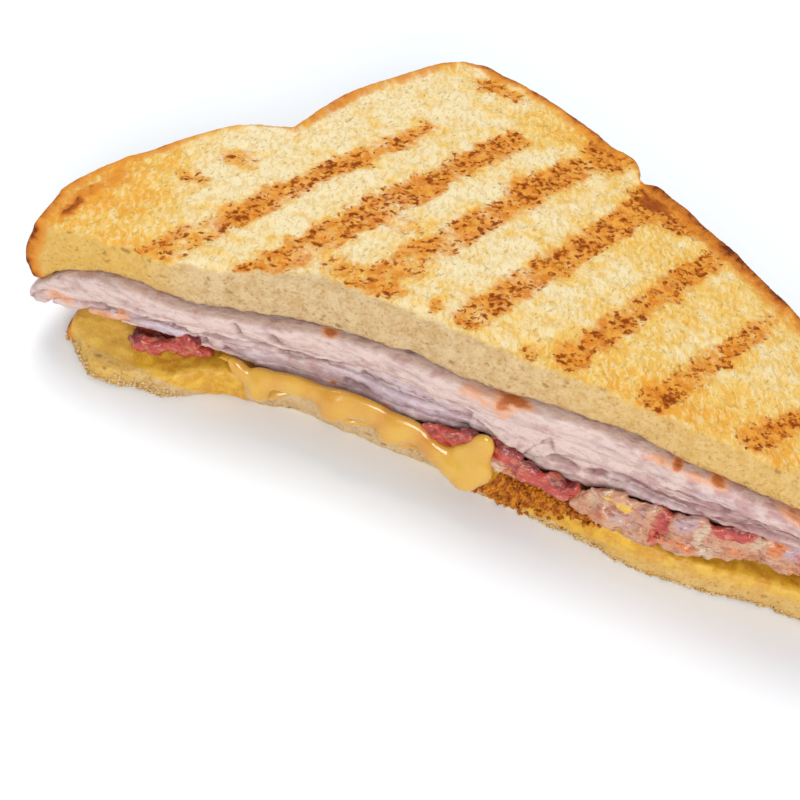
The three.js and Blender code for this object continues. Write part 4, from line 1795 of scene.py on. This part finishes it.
GRILL_MARKS = (
    GrillMark((-55.4, -37.0), (-23.8, 17.0), 3.0, 1.6, 0.9),
    GrillMark((-39.0, -34.0), (-8.6, 21.8), 3.2, 2.6),
    GrillMark((-22.6, -29.5), (3.6, 19.8), 3.0, 2.7, 0.95),
    GrillMark((-6.2, -28.8), (17.4, 16.5), 2.6, 2.9, 0.98),
    GrillMark((10.3, -29.8), (28.2, 5.5), 2.6, 2.1),
    GrillMark((23.8, -32.0), (41.0, -2.0), 2.5, 1.6, 0.95),
    GrillMark((39.0, -32.5), (56.5, -9.0), 2.3, 1.7, 0.85),
    GrillMark((55.5, -33.5), (64.5, -21.0), 2.0, 1.5, 0.8),
)
TOP_SCORCHES = (
    Patch(6.4, 23.6, 4.0, 4.6, 1.25),
    Patch(17.2, 15.6, 4.6, 3.8, 1.9),
    Patch(22.5, 12.6, 4.6, 3.0, 1.3),
    Patch(-4.0, 6.5, 3.6, 5.0, 1.15),
    Patch(-20.5, -11.0, 4.0, 3.0, 0.4),
    Patch(-19.5, -26.0, 4.0, 2.6, 0.9),
    Patch(-17.2, 33.6, 3.2, 2.2, 1.1),
    Patch(-13.0, 32.6, 2.6, 1.8, 0.8),
    Patch(-55.6, -13.4, 3.2, 2.0, 0.6),
    Patch(-50.6, -6.0, 3.4, 2.6, 0.6),
    Patch(-10.2, -27.4, 1.3, 2.0, 0.75),
    Patch(5.3, -30.2, 1.6, 2.0, 0.65),
    Patch(-26.0, -24.8, 4.0, 3.0, 0.5),
    Patch(28.5, 6.0, 3.2, 2.6, 0.6),
)
TOP_CRUSTED = (
    Patch(-69.9, -27.0, 1.4, 4.0, 0.98),
    Patch(-68.6, -22.6, 1.2, 2.6, 0.7),
    Patch(-66.8, -18.6, 2.2, 3.4, 0.5),
)
TOP_PUSHES = (
    Push(14.4, 21.4, 1.6, (-0.6, -1.7)),
    Push(10.6, 24.6, 2.8, (0.9, 1.0)),
    Push(-44.6, 1.6, 1.8, (0.9, -0.6)),
)
TOP_GOLDEN = (
    Patch(-63.5, -20.0, 8.0, 9.0, 0.5),
    Patch(-67.0, -23.0, 3.6, 4.4, 0.8),
    Patch(-5.0, 27.0, 5.0, 5.0, 0.5),
    Patch(2.5, 25.5, 5.0, 4.0, 0.55),
    Patch(-17.5, -10.0, 3.0, 3.0, 0.35),
    Patch(-20.0, -24.0, 9.0, 6.0, 0.25),
    Patch(30.0, -28.0, 24.0, 6.0, 0.34),
)
TOP_TOAST_EDGE = Line((
    (-75, 25.8), (-65, 26.8), (-50, 27.9), (-45, 29.3), (-40, 31.2), (-35, 34.2), (-30, 36.8), (-20, 36.6),
    (-10, 36.0), (0, 35.3), (10, 34.8), (20, 34.2), (30, 33.6), (40, 32.6), (60, 31.5), (75, 29.0),
))
BOTTOM_SOAK_EDGE = Line((
    (-70, 5.0), (-66, 4.0), (-60, 3.0), (-50, 1.6), (-45, 1.0), (-36, 2.0), (-30, 30.0), (4, 30.0), (6, 3.6),
    (15, 2.6), (25, 2.0), (33, 2.0), (40, 3.0), (50, 4.4), (60, 6.0), (75, 7.5),
))
CRISP = (
    Patch(9.0, 6.2, 4.4, 3.2),
    Patch(15.0, 7.0, 5.4, 3.0),
    Patch(21.5, 7.8, 3.6, 2.0, 0.9),
)

TURKEY_LEDGES = (
    Line((
        (-76, 8), (-70, 12.4), (-62, 14.2), (-55, 14.6), (-45, 15.6), (-40, 16.8), (-33, 18.2), (-27, 19.6),
        (-22, 20.6), (-18, 21.6), (-14, 22.6), (-9, 21.6), (-4, 21.8), (0, 20.5), (4, 18.0), (6, 16.8),
        (9.5, 17.2), (11, 19.0), (12.5, 21.2), (14.5, 19.2), (18, 19.2), (22, 20.0), (28, 19.6), (34, 20.2),
        (45, 21.0), (60, 20.0), (76, 17.5),
    )),
)
TURKEY_CREASES = (
    Line(((-39, 21.2), (-36, 18.2), (-33, 18.2), (-30.5, 17.8), (-27, 19.3), (-24, 19.6))),
    Line(((-33, 21.5), (-30, 20.3), (-25, 21.2))),
    Line(((-40, 14.5), (-35, 13.6))),
    Line(((-20, 17.0), (-12, 16.3), (-5, 16.8), (0, 16.9))),
    Line(((-18, 19.5), (-12, 18.8), (-6, 19.4), (0, 18.6))),
    Line(((14, 17.5), (19, 17.0), (23, 18.0))),
    Line(((24, 18.4), (30, 18.0), (36, 18.2), (44, 19.4), (52, 20.0), (62, 19.0), (73, 17.0))),
    Line(((24, 17.2), (30, 16.9), (36, 16.7), (44, 18.0), (50, 18.6), (60, 17.6), (70, 16.0))),
    Line(((-64, 12.6), (-60, 12.8), (-57, 13.4))),
    Line(((-56.5, 12.6), (-53, 14.0), (-48, 14.9), (-44.5, 14.8), (-43.2, 13.4))),
    Line(((40.6, 20.4), (41.4, 18.6), (44.2, 18.4), (44.6, 20.2))),
)
TURKEY_ROASTS = (
    Patch(5.4, 26.6, 3.0, 1.2, 1.1),
    Patch(4.6, 25.0, 1.9, 2.2, 0.8),
    Patch(0.8, 25.2, 4.2, 1.9, 0.42),
    Patch(31.4, 26.4, 0.9, 1.8, 1.1),
    Patch(37.8, 25.6, 1.5, 1.4, 1.0),
    Patch(28.6, 25.8, 2.8, 1.1, 0.45),
    Patch(34.8, 24.8, 3.0, 1.0, 0.4),
    Patch(50.5, 24.6, 3.6, 1.3, 0.7),
    Patch(64.0, 21.5, 3.2, 1.0, 0.6),
    Patch(-68.0, 11.6, 2.4, 1.4, 0.6),
    Patch(-60.0, 11.4, 3.4, 0.9, 0.62),
    Patch(-57.2, 13.2, 1.2, 1.4, 0.55),
    Patch(-24.6, 26.8, 1.5, 0.7, 1.2),
    Patch(-22.0, 15.2, 0.8, 0.5, 0.9),
    Patch(-13.0, 14.6, 1.2, 0.5, 0.7),
)
TURKEY_FOOT = Line((
    (-76, 7.0), (-70, 7.6), (-66, 9.8), (-60, 10.8), (-56, 11.4), (-50, 12.4), (-45, 12.8), (-36, 13.0),
    (-30, 12.6), (-25, 13.4), (-20, 14.2), (-15, 14.0), (-10, 13.5), (-5, 14.3), (0, 15.9), (3, 17.0),
    (5, 16.4), (7, 15.2), (10, 15.2), (12, 13.8), (14, 12.8), (20, 12.6), (22, 14.0), (26, 14.8), (33, 15.5),
    (40, 16.4), (45, 16.9), (53, 17.4), (60, 16.6), (68, 15.6), (76, 14.0),
))
TURKEY_LILACS = (
    Patch(-12.0, 17.5, 13.0, 3.6, 0.8),
    Patch(-33.0, 15.0, 7.0, 2.2, 0.6),
    Patch(-49.5, 13.4, 6.0, 1.2, 0.9),
    Patch(30.0, 17.0, 9.0, 1.6, 0.35),
    Patch(38.0, 21.8, 5.0, 1.2, 0.35),
)

CHEDDAR_LUMPS = (
    Lump((3.4, -36.0, 13.2), (2.5, 1.2, 4.2), 3),
    Lump((2.2, -36.2, 11.0), (2.2, 1.2, 2.6), 20),
    Lump((3.8, -36.8, 9.6), (3.2, 1.5, 3.4), -12),
    Lump((2.8, -37.5, 7.3), (2.5, 1.6, 3.4), 8),
    Lump((-2.0, -36.4, 9.2), (4.6, 1.3, 2.5), 28),
    Lump((0.6, -37.1, 8.0), (3.0, 1.5, 2.4), 42),
    Lump((-8.8, -35.6, 11.3), (5.8, 1.2, 2.7), 6),
    Lump((-17.5, -35.4, 11.9), (8.0, 1.2, 2.8), -2),
    Lump((-27.0, -35.3, 11.4), (6.8, 1.1, 2.3), -5),
    Lump((-10.6, -36.2, 10.0), (2.6, 1.3, 3.0), 12),
    Lump((-20.6, -36.2, 10.4), (2.8, 1.3, 3.2), -6),
    Lump((-33.5, -36.2, 8.2), (2.6, 1.3, 2.9), -30),
    Lump((1.0, -36.1, 12.0), (2.3, 1.1, 1.7), -35),
    Lump((-37.6, -35.6, 10.2), (4.8, 1.1, 1.8), 30),
    Lump((-32.0, -35.4, 10.9), (4.6, 1.1, 1.9)),
)

SET_BACK_LOWER = Line(((-75, 0.0), (36, 0.0), (40, 0.9), (45, 1.7), (50, 2.8), (60, 3.1), (75, 3.1)))
SET_BACK_UPPER = Line(((-75, 0.0), (36, 0.0), (45, 0.8), (50, 1.5), (75, 1.8)))

RASHERS = (
    BaconRasher("bacon_rasher_1", 3, {
        Tint.LEAN: (Patch(-47.0, 10.6, 6.0, 4.4), Patch(-51.6, 8.6, 5.0, 4.4)),
        Tint.DARK: (
            Patch(-54.4, 9.6, 2.0, 2.4), Patch(-52.0, 10.6, 3.0, 0.8, 0.9), Patch(-44.4, 13.4, 2.0, 1.2, 0.9),
        ),
        # These lilac spots are painted highlights.
        Tint.LILAC: (Patch(-53.4, 6.6, 0.9, 1.1, 0.9), Patch(-49.8, 8.8, 1.5, 0.8, 0.8)),
    }, (
        Lump((-55.6, -36.0, 8.4), (1.8, 1.4, 1.8), -10),
        Lump((-52.8, -36.0, 9.2), (2.1, 1.4, 1.5), -20),
        Lump((-49.9, -35.6, 10.6), (1.9, 1.3, 1.5), -25),
        Lump((-47.4, -35.2, 12.0), (1.9, 1.2, 1.5), -15),
    ), slide=2.0 * MM),
    BaconRasher("bacon_rasher_2", 5, {
        Tint.LEAN: (Patch(-0.4, 13.6, 5.4, 3.6), Patch(-5.0, 13.6, 3.4, 2.6)),
        Tint.DARK: (Patch(0.0, 16.0, 4.0, 1.1), Patch(-1.0, 13.4, 2.0, 0.8, 0.7)),
        Tint.AMBER: (Patch(-5.4, 14.4, 2.0, 1.4, 0.8),),
        # These cream spots are painted highlights.
        Tint.CREAM: (Patch(-3.8, 13.9, 0.9, 0.7, 0.8), Patch(-1.8, 12.4, 1.4, 0.6, 0.7)),
    }, (
        Lump((-3.6, -35.2, 12.4), (3.6, 1.0, 2.1), -12),
        Lump((0.6, -35.3, 13.6), (3.0, 1.0, 2.4), -6),
        Lump((-1.6, -35.9, 14.2), (1.5, 0.8, 1.0)),
    )),
    BaconRasher("bacon_rasher_3", 8, {
        Tint.LEAN: (
            Patch(8.5, 14.2, 4.8, 2.8), Patch(12.6, 12.2, 4.0, 3.4), Patch(17.0, 11.0, 4.0, 3.0),
            Patch(5.0, 16.0, 3.0, 3.0),
        ),
        Tint.DARK: (
            Patch(7.2, 15.4, 3.6, 1.4), Patch(12.0, 13.9, 3.0, 1.2), Patch(17.4, 11.8, 2.6, 1.2),
            Patch(10.0, 11.8, 2.0, 0.8, 0.7),
        ),
        Tint.AMBER: (Patch(14.0, 8.2, 6.0, 1.2), Patch(9.0, 10.4, 2.4, 1.0, 0.7)),
        Tint.CREAM: (Patch(7.2, 10.8, 1.6, 1.2, 0.7),),
    }, (
        Lump((8.0, -36.9, 13.2), (3.0, 1.2, 2.4), 28),
        Lump((11.8, -37.1, 12.0), (2.8, 1.2, 2.2), 20),
        Lump((15.6, -36.8, 11.2), (2.8, 1.2, 1.7), 12),
        Lump((19.2, -36.2, 10.8), (2.2, 1.0, 1.3), 10),
        Lump((5.8, -35.8, 14.6), (1.8, 0.9, 2.0)),
        Lump((6.6, -37.2, 11.4), (1.9, 1.0, 1.5), 20),
    ), Line(((-75, 1.4), (75, 1.4)))),
    BaconRasher("bacon_rasher_4", 11, {
        Tint.LEAN: (
            Patch(33.6, 11.0, 1.5, 6.6, 0.7), Patch(62.0, 13.0, 4.4, 2.4), Patch(43.5, 15.4, 3.4, 2.0, 0.8),
        ),
        Tint.AMBER: (
            Patch(34.2, 9.4, 2.2, 5.0, 0.7), Patch(38.2, 8.2, 3.4, 1.4, 0.8),
            Patch(45.5, 11.4, 3.2, 2.0, 0.6), Patch(51.0, 15.2, 1.6, 2.6, 0.95),
            Patch(24.0, 8.0, 2.0, 1.0, 0.7), Patch(57.0, 12.4, 4.0, 1.6, 0.6),
        ),
        Tint.CREAM: (
            Patch(41.4, 9.4, 1.5, 2.6, 0.9), Patch(39.4, 13.4, 1.4, 3.0, 0.9),
            Patch(48.6, 14.4, 1.2, 2.6, 0.8), Patch(69.0, 12.0, 2.4, 2.4, 0.8),
            Patch(21.8, 12.6, 1.2, 3.0, 0.5), Patch(24.4, 12.6, 0.7, 4.0, 0.7),
        ),
        Tint.LILAC: (
            Patch(28.0, 9.4, 3.4, 2.4, 0.45), Patch(36.8, 13.4, 2.0, 3.0, 0.8),
            Patch(53.4, 16.0, 1.4, 1.4, 0.8), Patch(30.6, 13.2, 2.0, 2.4, 0.6),
        ),
        Tint.GOLD: (Patch(27.0, 12.2, 1.7, 1.1), Patch(24.8, 13.2, 1.0, 0.8, 0.8)),
        Tint.DARK: (
            Patch(43.0, 15.0, 3.0, 1.2, 0.7), Patch(33.2, 13.0, 1.2, 1.8, 0.7),
            Patch(62.0, 14.6, 4.0, 0.9, 0.7),
        ),
    }, (
        Lump((25.8, -36.5, 9.8), (3.4, 1.4, 2.4), 20),
        Lump((31.0, -36.6, 9.0), (3.6, 1.3, 2.0), 8),
        Lump((37.6, -36.5, 9.0), (4.4, 1.2, 1.7)),
        Lump((45.4, -36.2, 9.8), (4.6, 1.1, 2.0), -8),
        Lump((54.0, -36.0, 10.4), (5.4, 1.0, 2.0), -4),
        Lump((22.0, -35.8, 9.6), (2.2, 1.0, 1.8), 30),
        Lump((21.6, -35.4, 12.0), (0.8, 0.7, 2.2), 28),
        Lump((25.4, -35.9, 12.6), (3.2, 1.0, 3.0), 10),
        Lump((30.4, -36.0, 12.4), (3.4, 1.0, 3.4)),
    ), SET_BACK_LOWER),
    BaconRasher("bacon_rasher_5", 14, {
        Tint.LEAN: (
            Patch(33.6, 12.0, 1.6, 6.0, 0.7), Patch(43.0, 15.6, 4.2, 2.4), Patch(60.0, 15.0, 5.4, 2.6),
        ),
        Tint.DARK: (
            Patch(43.0, 16.4, 3.8, 1.2, 0.9), Patch(60.0, 16.4, 4.4, 0.9, 0.8),
            Patch(30.0, 15.6, 4.0, 0.7, 0.7),
        ),
        Tint.LILAC: (Patch(36.8, 13.6, 1.9, 3.0, 0.8), Patch(53.6, 15.6, 2.0, 1.8, 0.8)),
        Tint.CREAM: (
            Patch(48.4, 14.4, 1.2, 2.6, 0.8), Patch(39.6, 13.0, 1.4, 3.2, 0.9),
            Patch(42.2, 9.6, 1.4, 2.2, 0.8),
        ),
        Tint.AMBER: (
            Patch(51.0, 15.4, 1.8, 2.4, 0.9), Patch(67.0, 13.6, 3.0, 2.0, 0.7),
            Patch(45.6, 11.4, 3.2, 1.6, 0.6), Patch(36.6, 9.0, 3.0, 1.4, 0.6),
        ),
    }, (
        Lump((32.4, -36.1, 13.0), (3.4, 1.0, 3.0), 4),
        Lump((37.4, -36.5, 13.2), (4.2, 1.1, 3.6)),
        Lump((44.6, -36.3, 13.6), (4.6, 1.0, 3.6), -4),
        Lump((52.4, -36.0, 13.8), (5.0, 1.0, 3.4), -2),
        Lump((61.0, -35.6, 13.4), (5.4, 0.9, 2.8), 2),
    ), SET_BACK_UPPER),
)


def sow_bits(bottom: BreadSlice, effects: Effects) -> None:
    """Makes the loose bits: pale crumbs along the lower edge and crisp ones by the bacon.

    Args:
        bottom: The bottom slice.
        effects: The shared effects.
    """
    x, y, z = (bottom.places[:, axis] / MM for axis in range(3))
    seen = seen_height(bottom.places)
    front = smooth(-bottom.normals[:, 1], 0.1, 0.5) * smooth(y, -20, -26)
    frayed = front * smooth(z, 1.6, 0.4) * smooth(z, 0.05, 0.3) * smooth(x, 12, 22)
    porous = front * smooth(z, 3.2, 1.2) * smooth(z, 0.1, 0.5) * smooth(x, -68, -64) * smooth(x, -44, -50)
    pale_bits = Bits("pale_crumbs", "soaked_bread", 460, smallest=0.3 * MM, largest=0.75 * MM, seed=71)
    pale_bits.build(bottom, frayed + 0.6 * porous)
    pale_bits.dress(BitFinish("pale crumbs", rgb(242, 210, 152), rgb(216, 170, 102)).material(effects))

    crisp = patched(CRISP, x, seen) * smooth(bottom.normals[:, 2] - bottom.normals[:, 1], 0.2, 0.8)
    crisp_bits = Bits("crisp_crumbs", "soaked_bread", 520, smallest=0.6 * MM, largest=1.25 * MM, seed=72)
    crisp_bits.build(bottom, crisp * smooth(y, -24, -30) + LEAST_CHANCE)
    crisp_bits.dress(BitFinish("crisp crumbs", rgb(226, 142, 30), rgb(168, 82, 12), 0.45).material(effects))


def main() -> None:
    """Builds the sandwich from the bottom up, then the studio."""
    logging.basicConfig(level=logging.INFO, format="%(name)s: %(message)s")
    effects = Effects()
    bread_finish = ToastFinish().material(effects)
    bacon_finish = BaconFinish().material(effects)

    bottom = BreadSlice(
        "bottom_bread", "soaked_bread", Side.UNDERSIDE, GRILL_MARKS, (), soak_edge=BOTTOM_SOAK_EDGE,
        crisp=CRISP, seed=30,
    )
    bottom.build()
    bottom.dress(bread_finish)

    cheddar = CheddarSheet(CHEDDAR_LUMPS)
    cheddar.build()
    cheddar.dress(CheddarFinish().material())

    for rasher in RASHERS:
        rasher.build()
        rasher.dress(bacon_finish)

    turkey = TurkeyPile(TURKEY_CREASES, TURKEY_LEDGES, TURKEY_ROASTS, TURKEY_LILACS, TURKEY_FOOT)
    turkey.build()
    turkey.dress(TurkeyFinish().material(effects))

    top = BreadSlice(
        "top_bread", "toasted_bread", Side.TOP, GRILL_MARKS, TOP_SCORCHES, toast_edge=TOP_TOAST_EDGE,
        golden=TOP_GOLDEN, pushes=TOP_PUSHES, crusted=TOP_CRUSTED, seed=10,
    )
    top.build()
    top.dress(bread_finish)

    sow_bits(bottom, effects)
    Studio().build()


if __name__ == "__main__":
    main()
